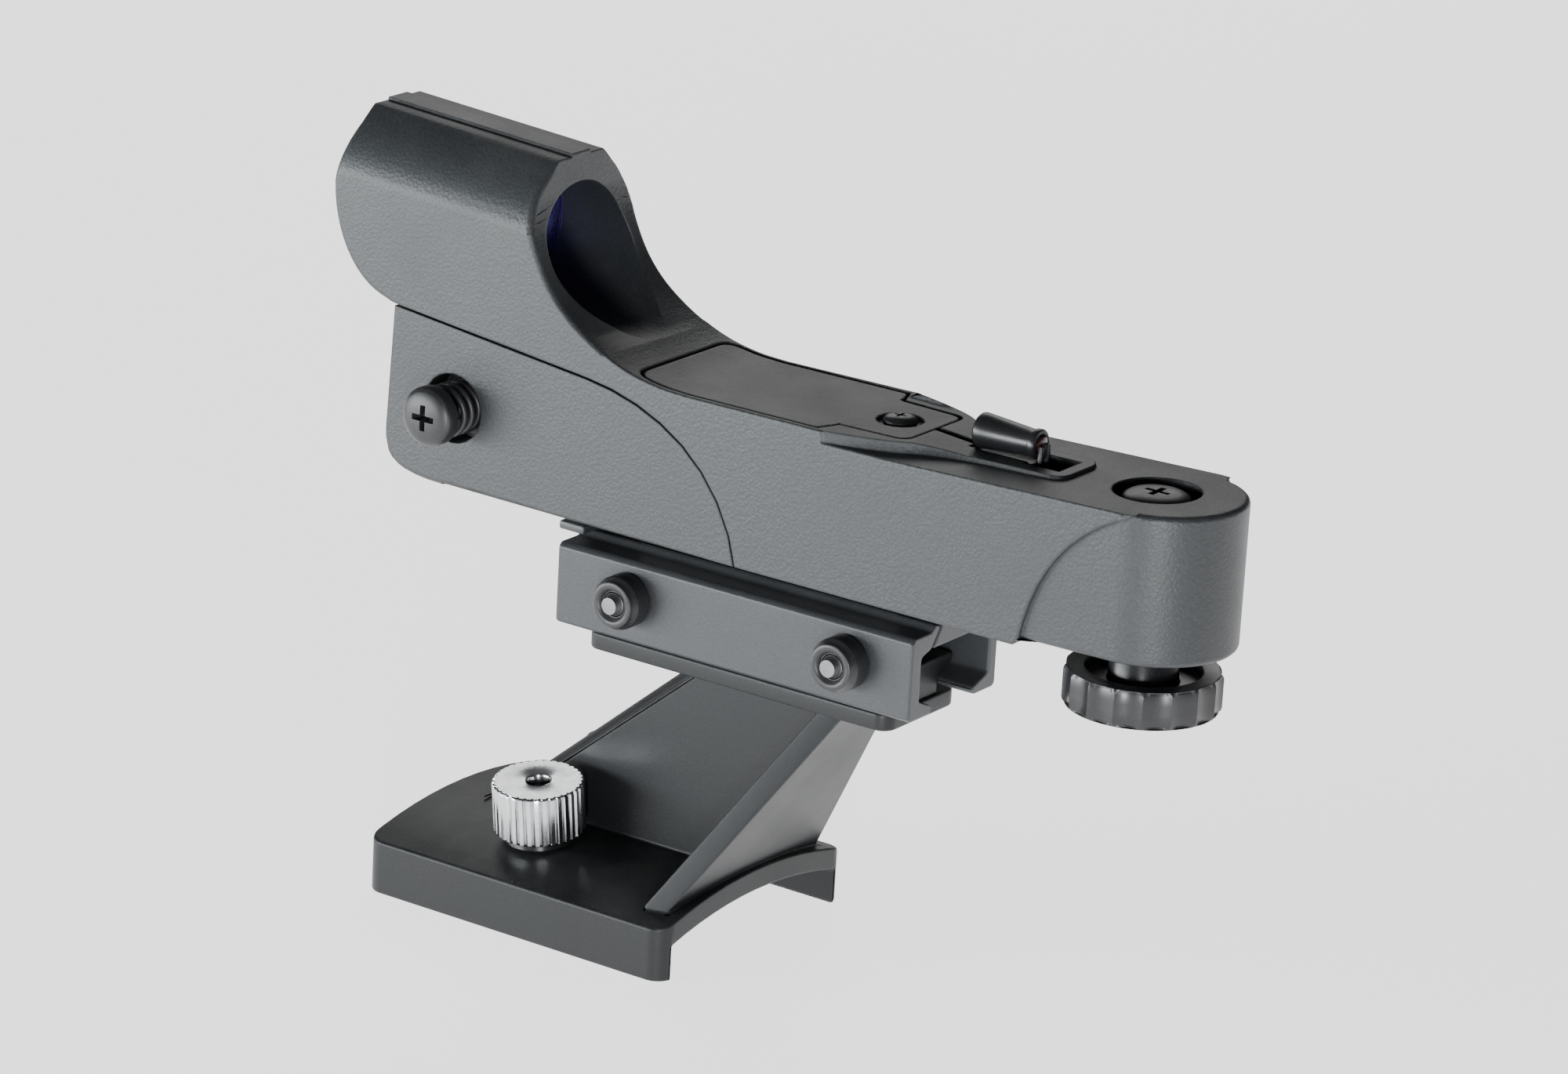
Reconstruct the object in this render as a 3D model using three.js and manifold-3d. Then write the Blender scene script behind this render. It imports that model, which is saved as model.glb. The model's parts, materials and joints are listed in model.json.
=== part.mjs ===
// A reflex red dot finder for a telescope: a sight tube on a hollow body that is aimed by two
// screws, a clamp that grips a dovetail rail, and the saddle bracket that bolts to the telescope.
// Millimetres. +X is the observer's right, +Y is forward (towards the sky), +Z is up.
// Inside the finder group, y = 0 is the rear end of the clamp and z = 0 is its underside.

import * as THREE from "three";
import { mergeVertices } from "three/addons/utils/BufferGeometryUtils.js";
import Module from "manifold-3d";

const wasm = await Module();
wasm.setup();

// ---------------------------------------------------------------- driving dimensions
const GAP = 0.3; // clearance between pieces that touch
const WALL = 1.8; // moulded wall

const BODY_HALF = 10.9; // half the width of the body beside the sight tube
const TAIL_HALF = 10.2; // half the width of the stepped-in tail
const FLOOR_Z = 14.3; // underside of the body
const DECK_Z = 34.7; // deck in front, where the battery cover lies
const LEDGE_Z = 33.2; // deck beside the tongue
const TAIL_Z = 34.2; // deck around the rear screw
const NOSE_Y = 92.2; // foremost point of the sight tube
const CHIN_Y = 81.4; // front of the lower shell at the seam
const CHIN_Z = 36.9;
const TAIL_CENTRE_Y = -28.2; // centre of the rounded tail

const BORE = { radius: 8.6, y: 61, z: 46.5, tilt: THREE.MathUtils.degToRad(3.5) };
const TUBE_TOP = 12; // top of the tube above its axis
const TUBE_SHOULDER = 3.7; // where the shoulder starts above the axis
const RIDGE = { half: 1.9, height: 0.4 };

const ALT = { y: -27, shank: 2, head: 4.3, headHeight: 2.4 }; // upright screw in the tail
const AZI = { y: 71.5, z: 25, shank: 2, head: 3.9, headHeight: 2.6 }; // cross screw
const AZI_HEAD_X = -17.2; // outer face of the cross screw's head
const KNOB = { radius: 10, height: 4.8, hub: 3.3, scallops: 17, scallopRadius: 2.6, depth: 0.75 };
const KNOB_TOP_Z = 11.7;

const ARM = { half: 5.4, tip: 2, low: 20.9, high: 25.5 };
const LENS = { seat: 9.1, rim: 9.2, ring: 11.3 }; // along the line of sight from the bore's datum
const CLAMP = { length: 54.5, half: 10, height: 10.9, screws: [9.5, 43], screwZ: 6, shank: 1.5 };
const CLAMP_NUT = { radius: 3.5, height: 3.5 };

const FOOT = { rear: 28, front: 76, half: 20, topZ: -29.5, outerRadius: 72, thick: 3 };
const FLANGE = { thick: 2.2, baseZ: -39.5 };
const RAIL = { rear: 4.4, front: 51.1, plateHalf: 7.9, plateLow: -3, plateHigh: -0.7 };
const STUD = { x: 9, y: 56, radius: 2.5, length: 12.8 };
const THUMB_NUT = { radius: 6, height: 8, flutes: 36, cap: 1.6, hole: 1.55 };

const COVER = { front: 43.6, notch: 14.8, tip: 5.2, wide: 9.9, narrow: 6.9, screwY: 10.4 };
const SPRING_WELL = { radius: 4.6, depth: 3.8 }; // cup for the cross screw's spring
const CASE_SCREW = { x: 5.5, y: 78 }; // the two screws that hold the shells together
const CELL = { radius: 8, height: 3.2, y: 31, low: 29.9 };
const BOARD = { low: 28.2, high: 29.2, rear: 14, front: 43, half: 8.2 };
const DIAL = { y: 52, z: 28.9, radius: 4, proud: 3 };
const HOOD = { y: -1.4, z: 36.1, rear: -10.2, frontRadius: 2.25, rearRadius: 1.75 };

// ---------------------------------------------------------------- solids
const X = new THREE.Vector3(1, 0, 0);
const Y = new THREE.Vector3(0, 1, 0);
const Z = new THREE.Vector3(0, 0, 1);

function solid(geometry) {
  const bare = geometry.clone();
  bare.deleteAttribute("normal");
  bare.deleteAttribute("uv");
  const merged = mergeVertices(bare, 1e-4);
  return new wasm.Manifold(new wasm.Mesh({
    numProp: 3,
    vertProperties: new Float32Array(merged.attributes.position.array),
    triVerts: new Uint32Array(merged.index.array),
  }));
}

function geometryOf(body) {
  const { vertProperties, triVerts } = body.getMesh();
  const geometry = new THREE.BufferGeometry();
  geometry.setAttribute("position", new THREE.BufferAttribute(new Float32Array(vertProperties), 3));
  geometry.setIndex(new THREE.BufferAttribute(new Uint32Array(triVerts), 1));
  return geometry;
}

const join = (first, ...rest) => rest.reduce((sum, next) => sum.add(next), first);
const cut = (first, ...rest) => rest.reduce((left, next) => left.subtract(next), first);
const common = (first, ...rest) => rest.reduce((left, next) => left.intersect(next), first);

function outline(points) {
  return new THREE.Shape(points.map(([u, v]) => new THREE.Vector2(u, v)));
}

function extrude(shape, depth, basis, curveSegments = 10) {
  const geometry = new THREE.ExtrudeGeometry(shape, { depth, bevelEnabled: false, curveSegments });
  return geometry.applyMatrix4(basis);
}

// Side outline in (y, z), from x = low to x = high.
function acrossX(shape, low, high, segments) {
  const basis = new THREE.Matrix4().makeBasis(Y, Z, X).setPosition(low, 0, 0);
  return solid(extrude(shape, high - low, basis, segments));
}

// Front outline in (x, z), from y = low to y = high.
function alongY(shape, low, high, segments) {
  const basis = new THREE.Matrix4().makeBasis(X, Z, Y.clone().negate()).setPosition(0, high, 0);
  return solid(extrude(shape, high - low, basis, segments));
}

// Plan outline in (x, y), from z = low to z = high.
function upZ(shape, low, high, segments) {
  return solid(extrude(shape, high - low, new THREE.Matrix4().setPosition(0, 0, low), segments));
}

function box(x0, x1, y0, y1, z0, z1) {
  const geometry = new THREE.BoxGeometry(x1 - x0, y1 - y0, z1 - z0);
  return solid(geometry.translate((x0 + x1) / 2, (y0 + y1) / 2, (z0 + z1) / 2));
}

// A turned piece: profile of [radius, distance along axis], closed on the axis.
function turned(profile, axis, place, segments = 32) {
  const points = profile.map(([r, h]) => new THREE.Vector2(r, h));
  const geometry = new THREE.LatheGeometry(points, segments);
  const turn = new THREE.Quaternion().setFromUnitVectors(Y, axis);
  return solid(geometry.applyQuaternion(turn).translate(...place));
}

function rod(radius, axis, place, low, high, segments = 32) {
  return turned([[0, low], [radius, low], [radius, high], [0, high]], axis, place, segments);
}

function roundedRectangle(x0, x1, y0, y1, radius) {
  const shape = new THREE.Shape();
  shape.moveTo(x0 + radius, y0);
  shape.absarc(x1 - radius, y0 + radius, radius, -Math.PI / 2, 0);
  shape.absarc(x1 - radius, y1 - radius, radius, 0, Math.PI / 2);
  shape.absarc(x0 + radius, y1 - radius, radius, Math.PI / 2, Math.PI);
  shape.absarc(x0 + radius, y0 + radius, radius, Math.PI, Math.PI * 1.5);
  return shape;
}

// A cross recess, pointing along +axis from the head's face.
function crossRecess(axis, place, size, depth) {
  const bar = (wide, long) => new THREE.BoxGeometry(wide, depth, long).translate(0, -depth / 2 + 0.1, 0);
  const turn = new THREE.Quaternion().setFromUnitVectors(Y, axis);
  const put = (geometry) => solid(geometry.applyQuaternion(turn).translate(...place));
  return join(put(bar(size * 0.26, size)), put(bar(size, size * 0.26)));
}

function coilSpring(radius, wire, turns, length, axis, place) {
  const steps = Math.round(turns * 14);
  const points = Array.from({ length: steps + 1 }, (_, i) => {
    const angle = (i / steps) * turns * Math.PI * 2;
    const along = wire + (i / steps) * (length - 2 * wire);
    return new THREE.Vector3(Math.cos(angle) * radius, along, Math.sin(angle) * radius);
  });
  const section = new THREE.Shape().absarc(0, 0, wire, 0, Math.PI * 2);
  const geometry = new THREE.ExtrudeGeometry(section, {
    extrudePath: new THREE.CatmullRomCurve3(points),
    steps,
    curveSegments: 4,
    bevelEnabled: false,
  });
  const turn = new THREE.Quaternion().setFromUnitVectors(Y, axis);
  return solid(geometry.applyQuaternion(turn).translate(...place));
}

// ---------------------------------------------------------------- materials
const paint = (color, roughness, metalness = 0) =>
  new THREE.MeshStandardMaterial({ color, roughness, metalness });
const LOOKS = {
  shell: paint(0x3a3d41, 0.75),
  clamp: paint(0x33373b, 0.6),
  knob: paint(0x15161a, 0.35),
  black: paint(0x0d0e10, 0.3, 0.6),
  steel: paint(0x9a9da0, 0.35, 0.9),
  chrome: paint(0xd0d3d6, 0.12, 1),
  lens: paint(0x4a55c8, 0.05),
  board: paint(0x1c5a34, 0.5),
  cell: paint(0xc9ccd0, 0.3, 0.9),
  contact: paint(0xc9a24a, 0.35, 0.8),
  led: paint(0xb01818, 0.2),
};

const finder = new THREE.Group();
finder.position.set(0, -(FOOT.rear + FOOT.front) / 2, -FLANGE.baseZ);

function piece(name, body, look) {
  const mesh = new THREE.Mesh(geometryOf(body), LOOKS[look]);
  mesh.name = name;
  finder.add(mesh);
}

// ---------------------------------------------------------------- body of the finder
// The line of sight, which looks up a little from the body.
const boreAxis = new THREE.Vector3(0, Math.cos(BORE.tilt), Math.sin(BORE.tilt));

// A section of the tube run along the line of sight, between two distances from the bore's datum.
function alongBore(shape, from, to, segments) {
  const up = new THREE.Vector3(0, -Math.sin(BORE.tilt), Math.cos(BORE.tilt));
  const start = new THREE.Vector3(0, BORE.y, BORE.z).addScaledVector(boreAxis, to);
  const basis = new THREE.Matrix4().makeBasis(X, up, boreAxis.clone().negate()).setPosition(start);
  return solid(extrude(shape, to - from, basis, segments));
}

function boreRod(radius, from, to, segments = 48) {
  return rod(radius, boreAxis, [0, BORE.y, BORE.z], from, to, segments);
}

function sideOutline() {
  const shape = new THREE.Shape();
  shape.moveTo(90.2, 64);
  shape.lineTo(NOSE_Y, 51);
  shape.absellipse(CHIN_Y, 51, NOSE_Y - CHIN_Y, 51 - CHIN_Z, 0, -Math.PI / 2, true);
  shape.lineTo(82.3, 17.9);
  shape.quadraticCurveTo(82, FLOOR_Z, 73, FLOOR_Z);
  shape.lineTo(-15, FLOOR_Z);
  shape.lineTo(-15.2, FLOOR_Z + 0.6);
  shape.lineTo(-45, FLOOR_Z + 1.1);
  shape.lineTo(-45, TAIL_Z + 0.2);
  shape.lineTo(-30, TAIL_Z);
  shape.lineTo(5, LEDGE_Z);
  shape.lineTo(14.6, LEDGE_Z);
  shape.lineTo(14.6, DECK_Z);
  shape.lineTo(35, DECK_Z - 0.1);
  shape.splineThru([[39.5, 34.85], [44, 35.7], [48, 37.2], [51.6, 39.2], [54.6, 41.4],
    [57, 44], [58.8, 47], [60.2, 50.4], [60.9, 54]].map(([y, z]) => new THREE.Vector2(y, z)));
  shape.lineTo(61, 64);
  return shape;
}

// The tube's own section, whose flat sides run down past the body's floor.
function tubeSection() {
  const shape = new THREE.Shape();
  shape.moveTo(BODY_HALF, -45);
  shape.lineTo(BODY_HALF, TUBE_SHOULDER);
  shape.quadraticCurveTo(BODY_HALF - 0.7, 8.3, 4.6, TUBE_TOP);
  shape.lineTo(RIDGE.half, TUBE_TOP);
  shape.lineTo(RIDGE.half, TUBE_TOP + RIDGE.height);
  shape.lineTo(-RIDGE.half, TUBE_TOP + RIDGE.height);
  shape.lineTo(-RIDGE.half, TUBE_TOP);
  shape.lineTo(-4.6, TUBE_TOP);
  shape.quadraticCurveTo(-BODY_HALF + 0.7, 8.3, -BODY_HALF, TUBE_SHOULDER);
  shape.lineTo(-BODY_HALF, -45);
  return shape;
}

// The rounded tail in plan, for a body of this half width.
function tailPlan(half) {
  const shape = new THREE.Shape();
  shape.moveTo(half, 100);
  shape.lineTo(half, TAIL_CENTRE_Y);
  shape.absarc(0, TAIL_CENTRE_Y, half, 0, -Math.PI, true);
  shape.lineTo(-half, 100);
  return shape;
}

// The full-width part of the body lies in front of a curved step in its sides.
function frontRegion() {
  const shape = new THREE.Shape();
  shape.moveTo(100, 0);
  shape.lineTo(-15.4, 0);
  shape.lineTo(-15.4, FLOOR_Z + 0.4);
  shape.bezierCurveTo(-17, 24, -21.5, 30.5, -31, TAIL_Z + 0.1);
  shape.lineTo(-31, 80);
  shape.lineTo(100, 80);
  return shape;
}

// The tongue that carries the light source, level with the front deck where it starts.
function tongue() {
  const plan = new THREE.Shape();
  plan.moveTo(BODY_HALF, 15);
  plan.quadraticCurveTo(8.8, 6.5, 6.9, 4);
  plan.quadraticCurveTo(5, 0.5, 4.7, -6);
  plan.lineTo(4.5, -14.2);
  plan.quadraticCurveTo(4.4, -16.2, 2.4, -16.3);
  plan.lineTo(-2.4, -16.3);
  plan.quadraticCurveTo(-4.4, -16.2, -4.5, -14.2);
  plan.lineTo(-4.7, -6);
  plan.quadraticCurveTo(-5, 0.5, -6.9, 4);
  plan.quadraticCurveTo(-8.8, 6.5, -BODY_HALF, 15);
  const side = outline([[20, 30], [-20, 30], [-20, 34.3], [-2.5, 34.1], [4.2, DECK_Z], [20, DECK_Z]]);
  return common(upZ(plan, 30, 40, 6), acrossX(side, -BODY_HALF, BODY_HALF));
}

function outerBody() {
  const side = sideOutline();
  const slab = (half) => acrossX(side, -half, half, 7);
  const tail = common(slab(TAIL_HALF), upZ(tailPlan(TAIL_HALF), 0, 80, 14));
  const front = common(slab(BODY_HALF), acrossX(frontRegion(), -BODY_HALF, BODY_HALF, 10));
  const rounded = common(front, upZ(tailPlan(BODY_HALF), 0, 80, 14));
  return join(common(join(tail, rounded), alongBore(tubeSection(), -110, 40, 8)), tongue());
}

// The seam between the upper housing and the lower shell, as the outline of what is below it.
function belowSeam(drop) {
  const shape = new THREE.Shape();
  shape.moveTo(100, 0);
  shape.lineTo(100, CHIN_Z - drop + 1);
  shape.lineTo(CHIN_Y, CHIN_Z - drop);
  shape.lineTo(50.4, 33.7 - drop);
  shape.bezierCurveTo(40 + drop, 32.6 - drop, 28.6 + drop, 27, 26.2 + drop, FLOOR_Z - 1);
  shape.lineTo(26.2 + drop, 0);
  return acrossX(shape, -20, 20, 8);
}

function insideOfBody() {
  const side = outline([
    [79.6, 19.6], [73, FLOOR_Z + WALL], [-14, FLOOR_Z + WALL], [-14.2, FLOOR_Z + WALL + 0.7],
    [-40, FLOOR_Z + WALL + 1], [-40, 29.9], [-19, 29.9], [-19, 31.4], [4, 31.4], [4, 32.6],
    [41, 32.6], [46, 34.6], [79.4, 35.1],
  ]);
  const half = TAIL_HALF - WALL;
  const rear = common(acrossX(side, -half, half), upZ(tailPlan(half), 0, 80, 14));
  const front = common(acrossX(side, -BODY_HALF + WALL, BODY_HALF - WALL), box(-20, 20, -12, 90, 0, 80));
  return join(rear, front);
}

function coverPlan(grow) {
  const shape = new THREE.Shape();
  const wide = COVER.wide + grow;
  const narrow = COVER.narrow + grow;
  shape.moveTo(wide - 2.4, COVER.front + grow);
  shape.quadraticCurveTo(wide, COVER.front + grow, wide, COVER.front - 2.4);
  shape.lineTo(wide, COVER.notch + 1.2 - grow);
  shape.lineTo(narrow, COVER.notch - grow);
  shape.lineTo(narrow - 0.4, COVER.tip + 1.6 - grow);
  shape.quadraticCurveTo(narrow - 0.6, COVER.tip - grow, narrow - 2.2, COVER.tip - grow);
  shape.lineTo(-narrow + 2.2, COVER.tip - grow);
  shape.quadraticCurveTo(-narrow + 0.6, COVER.tip - grow, -narrow + 0.4, COVER.tip + 1.6 - grow);
  shape.lineTo(-narrow, COVER.notch - grow);
  shape.lineTo(-wide, COVER.notch + 1.2 - grow);
  shape.lineTo(-wide, COVER.front - 2.4);
  shape.quadraticCurveTo(-wide, COVER.front + grow, -wide + 2.4, COVER.front + grow);
  return shape;
}

function bodyOpenings() {
  const slot = upZ(roundedRectangle(-7.3, 7.3, 3, 50.4, 2), 10, 18, 3);
  const pocket = upZ(coverPlan(GAP), 33.1, 40, 4);
  const cellWell = upZ(roundedRectangle(-8.6, 8.6, 14.8, 42, 2), 30, 40, 3);
  const screwHole = rod(1.35, Z, [0, COVER.screwY, 0], 28, 40, 16);
  const deepWell = rod(5.5, Z, [0, ALT.y, 0], 31.6, 40, 32);
  const altHole = rod(ALT.shank + GAP, Z, [0, ALT.y, 0], 10, 40, 20);
  const aziHole = rod(ALT.shank + GAP, X, [0, AZI.y, AZI.z], -20, 20, 20);
  const dialHole = rod(1.8, X, [0, DIAL.y, DIAL.z], 5, 20, 16);
  const leads = box(-2.6, 2.6, -14.6, -9.4, 28, 40);
  const cradle = common(rod(2.6, Y, [0, 0, HOOD.z], -11, HOOD.y + 0.5, 24), box(-3, 3, -12, 4, 30, 36));
  const groove = box(-0.6, 0.6, HOOD.y - 0.5, COVER.tip, 33.7, 40);
  return [slot, pocket, cellWell, screwHole, deepWell, altHole, aziHole, dialHole, leads, cradle, groove];
}

function bodyShells() {
  const wellFloor = -BODY_HALF + SPRING_WELL.depth;
  const cup = rod(SPRING_WELL.radius + 1.6, X, [0, AZI.y, AZI.z], -BODY_HALF + 1, wellFloor + 1.4, 24);
  const hollow = cut(insideOfBody(), cup);
  const lensSeat = boreRod(LENS.rim + GAP, LENS.seat, 40);
  const whole = cut(outerBody(), hollow, boreRod(BORE.radius, -40, 40), lensSeat, ...bodyOpenings());
  const springWell = rod(SPRING_WELL.radius, X, [0, AZI.y, AZI.z], -20, wellFloor, 24);
  const upright = (radius, low, high, segments) =>
    [-CASE_SCREW.x, CASE_SCREW.x].map((x) => rod(radius, Z, [x, CASE_SCREW.y, 0], low, high, segments));
  const bosses = upright(2.2, 17, 36.4, 14).map((boss) => common(boss, outerBody()));
  const bores = upright(1.1, 16, 35.4, 10);
  const headWells = upright(2.4, 10, 18.6, 14);
  const finished = cut(join(whole, ...bosses), springWell, ...bores, ...headWells);
  return {
    upper: cut(finished, belowSeam(0)),
    lower: common(finished, belowSeam(GAP)),
  };
}

function batteryCover() {
  const plate = common(upZ(coverPlan(0), 33.4, 40, 4), outerBody());
  const recess = rod(2.9, Z, [0, COVER.screwY, 0], 34, 40, 20);
  return cut(plate, recess, rod(1.35, Z, [0, COVER.screwY, 0], 30, 40, 14));
}

function coverScrew() {
  const place = [0, COVER.screwY, 0];
  const body = turned([[0, 28.4], [1.05, 28.4], [1.05, 34.2], [2.2, 34.2], [2.1, 34.9], [1.3, 35.3],
    [0, 35.35]], Z, place, 18);
  return cut(body, crossRecess(Z, [place[0], place[1], 35.35], 2.4, 0.9));
}

function ledHood() {
  const { y, z, rear, frontRadius, rearRadius } = HOOD;
  const profile = [[0.6, 0], [frontRadius - 0.25, 0], [frontRadius, -0.3], [frontRadius, -1.2],
    [rearRadius - 0.05, rear - y + 1.3], [rearRadius + 0.15, rear - y + 0.9],
    [rearRadius + 0.15, rear - y], [1.25, rear - y], [1.25, -1.5], [0.6, -1.5], [0.6, 0]];
  return turned(profile.reverse(), Y, [0, y, z], 24);
}

function led() {
  const { y, z, rear } = HOOD;
  const back = rear - y;
  const dome = turned([[0, back + 4.4], [0.6, back + 4.2], [1, back + 3.6], [1, back + 0.6],
    [1.1, back + 0.5], [1.1, back - 0.3], [0, back - 0.3]].reverse(), Y, [0, y, z], 20);
  const leads = [-0.75, 0.75].map((x) => box(x - 0.25, x + 0.25, rear - 0.8, rear - 0.2, 30.2, z));
  return join(dome, ...leads);
}

// ---------------------------------------------------------------- aiming screws and knobs
// A knob whose hub reaches past its face, along +axis, to bear on the body.
function scallopedKnob(axis, place, low) {
  const high = low + KNOB.height;
  const bore = ALT.shank + GAP / 2;
  const body = turned([[bore, low], [KNOB.radius - 0.5, low], [KNOB.radius, low + 0.5],
    [KNOB.radius, high - 0.5], [KNOB.radius - 0.5, high], [7.4, high], [7.2, high - 1.6],
    [4.4, high - 1.6], [4.2, high + KNOB.hub], [bore, high + KNOB.hub], [bore, low]],
  Y, [0, 0, 0], 68);
  const scallops = Array.from({ length: KNOB.scallops }, (_, i) => {
    const angle = (i / KNOB.scallops) * Math.PI * 2;
    const reach = KNOB.radius + KNOB.scallopRadius - KNOB.depth;
    const at = [Math.cos(angle) * reach, 0, Math.sin(angle) * reach];
    return rod(KNOB.scallopRadius, Y, at, low - 1, high + 1, 16);
  });
  const turn = new THREE.Quaternion().setFromUnitVectors(Y, axis);
  return solid(geometryOf(cut(body, ...scallops)).applyQuaternion(turn).translate(...place));
}

function altitudeScrew() {
  const top = TAIL_Z - 0.1;
  const head = top - ALT.headHeight;
  const body = turned([[0, KNOB_TOP_Z - 4.6], [ALT.shank, KNOB_TOP_Z - 4.6], [ALT.shank, head],
    [ALT.head, head], [ALT.head, top - 0.7], [ALT.head - 1, top - 0.1], [0, top]], Z, [0, ALT.y, 0], 32);
  return cut(body, crossRecess(Z, [0, ALT.y, top], 4.6, 1.5));
}

function azimuthScrew() {
  const face = -AZI_HEAD_X;
  const head = face - AZI.headHeight;
  const body = turned([[0, -18.6], [AZI.shank, -18.6], [AZI.shank, head], [AZI.head, head],
    [AZI.head, face - 1.1], [AZI.head - 0.9, face - 0.25], [0, face]], X.clone().negate(),
  [0, AZI.y, AZI.z], 28);
  return cut(body, crossRecess(X.clone().negate(), [AZI_HEAD_X, AZI.y, AZI.z], 4.8, 1.7));
}

// ---------------------------------------------------------------- clamp
// Half of the clamp's C-shaped section: [distance in from the outer face, height].
function jawSection(outer, inward) {
  const profile = [[0, 0.5], [0.5, 0], [4.7, 0], [5.3, 0.5], [5.2, 1.1], [3.4, 1.9], [2.4, 2.3],
    [2.4, 8], [4.4, 8.6], [6.3, 11.3], [5, 11.7], [4.2, CLAMP.height], [0.6, CLAMP.height],
    [0, CLAMP.height - 0.6]];
  return outline(profile.map(([u, z]) => [outer + inward * u, z]));
}

function movingJaw() {
  const bar = alongY(jawSection(-CLAMP.half, 1), 0, CLAMP.length);
  const holes = CLAMP.screws.map((y) => rod(CLAMP.shank + GAP, X, [0, y, CLAMP.screwZ], -20, 20, 14));
  return cut(bar, ...holes);
}

function armPlan() {
  return outline([[ARM.half, -30], [ARM.half, 50], [ARM.tip, 64], [ARM.tip, 75.6], [-ARM.tip, 75.6],
    [-ARM.tip, 64], [-ARM.half, 50], [-ARM.half, -30], [-3.2, -32.6], [3.2, -32.6]]);
}

function baseArm() {
  const jaw = alongY(outline([[9.5, 0.5], [9, 0], [4.8, 0], [4.2, 0.5], [4.3, 1.1], [6.6, 1.9],
    [7.6, 2.3], [7.6, 8.6], [-5.2, 8.6], [-3.3, 11.9], [9.5, 11.9]]), 0, CLAMP.length);
  const rib = box(-8.6, 8.6, 51.6, 55.6, 12, 13.2);
  const ribNeck = box(-3.2, 8.6, 51.6, 54.5, 11.6, 12.4);
  const pedestal = box(-4.2, 4.2, 6, 46, 11.5, ARM.low + 1);
  const beam = upZ(armPlan(), ARM.low, ARM.high);
  const lug = rod(4.1, X, [0, AZI.y, AZI.z], -ARM.tip, ARM.tip, 24);
  const holes = [
    ...CLAMP.screws.map((y) => rod(CLAMP.shank + GAP / 2, X, [0, y, CLAMP.screwZ], -20, 20, 14)),
    rod(ALT.shank + GAP, Z, [0, ALT.y, 0], 10, 40, 20),
    rod(AZI.shank + GAP, X, [0, AZI.y, AZI.z], -20, 20, 20),
  ];
  return cut(join(jaw, rib, ribNeck, pedestal, beam, lug), ...holes);
}

function clampScrew(y) {
  const place = [0, y, CLAMP.screwZ];
  const body = turned([[0, 14.3], [CLAMP.shank - 0.3, 14.3], [CLAMP.shank, 14], [CLAMP.shank, -9.8],
    [2.8, -9.8], [2.8, -11.2], [2, -11.8], [0, -11.8]].reverse(), X.clone().negate(), place, 20);
  return cut(body, crossRecess(X, [11.8, y, CLAMP.screwZ], 3, 1));
}

function clampNut(y) {
  const near = CLAMP.half + GAP;
  const far = near + CLAMP_NUT.height;
  const bore = CLAMP.shank + GAP / 2;
  const profile = [[bore, near], [CLAMP_NUT.radius, near], [CLAMP_NUT.radius, far - 1.2],
    [CLAMP_NUT.radius - 0.5, far - 0.6], [2.9, far], [2.2, far], [bore, far - 0.5], [bore, near]];
  return turned(profile, X.clone().negate(), [0, y, CLAMP.screwZ], 24);
}

// ---------------------------------------------------------------- bracket
function saddle() {
  const { half, topZ, outerRadius, thick, rear, front } = FOOT;
  const centre = topZ - outerRadius;
  const at = (radius, x) => centre + Math.sqrt(radius * radius - x * x);
  const inner = outerRadius - thick;
  const reach = half - FLANGE.thick;
  const steps = 12;
  const over = Array.from({ length: steps + 1 }, (_, i) => half - (i / steps) * 2 * half);
  const under = Array.from({ length: steps + 1 }, (_, i) => -reach + (i / steps) * 2 * reach);
  const section = outline([
    [half, FLANGE.baseZ], ...over.map((x) => [x, at(outerRadius, x)]), [-half, FLANGE.baseZ],
    [-reach, FLANGE.baseZ], ...under.map((x) => [x, at(inner, x)]), [reach, FLANGE.baseZ],
  ]);
  const corners = upZ(roundedRectangle(-half, half, rear, front, 2.5), -60, 0, 4);
  return common(alongY(section, rear, front), corners);
}

function bracketSlab() {
  const low = { y: 33.5, z: -31.2, half: 17 };
  const high = { y: 14.6, z: -1.2, half: 5.6 };
  const rise = new THREE.Vector3(0, high.y - low.y, high.z - low.z);
  const length = rise.length();
  rise.normalize();
  const plate = outline([[low.half, 0], [high.half, length], [-high.half, length], [-low.half, 0]]);
  const out = new THREE.Vector3().crossVectors(X, rise);
  const basis = new THREE.Matrix4().makeBasis(X, rise, out).setPosition(0, low.y, low.z);
  return solid(extrude(plate, 3, basis));
}

function bracket() {
  const { rear, front, plateHalf, plateLow, plateHigh } = RAIL;
  const plate = upZ(roundedRectangle(-plateHalf, plateHalf, rear, front, 2), plateLow, plateHigh, 4);
  const rail = alongY(outline([[4, plateHigh - 1], [4, 1.5], [5.2, 2.1], [7.2, 2.7], [7.2, 3.6],
    [6.8, 4], [-6.8, 4], [-7.2, 3.6], [-7.2, 2.7], [-5.2, 2.1], [-4, 1.5], [-4, plateHigh - 1]]),
  rear + 0.6, front - 0.6);
  const web = acrossX(outline([[33, -31], [68.5, -30.8], [34, -2], [15, -2], [30, -28]]), -2, 2);
  const nose = new THREE.LineCurve3(new THREE.Vector3(0, 67.5, -31), new THREE.Vector3(0, 34, -2.4));
  const edge = solid(new THREE.ExtrudeGeometry(new THREE.Shape().absarc(0, 0, 2, 0, Math.PI * 2),
    { extrudePath: nose, steps: 1, curveSegments: 8, bevelEnabled: false }));
  const trimmed = cut(join(bracketSlab(), web, edge), underArch());
  const tops = cut(trimmed, box(-30, 30, 0, 90, plateHigh - 0.5, 10));
  const holes = [-STUD.x, STUD.x].map((x) => studRod(x, STUD.radius + GAP, -8, 8));
  return cut(join(saddle(), plate, rail, tops), ...holes);
}

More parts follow.
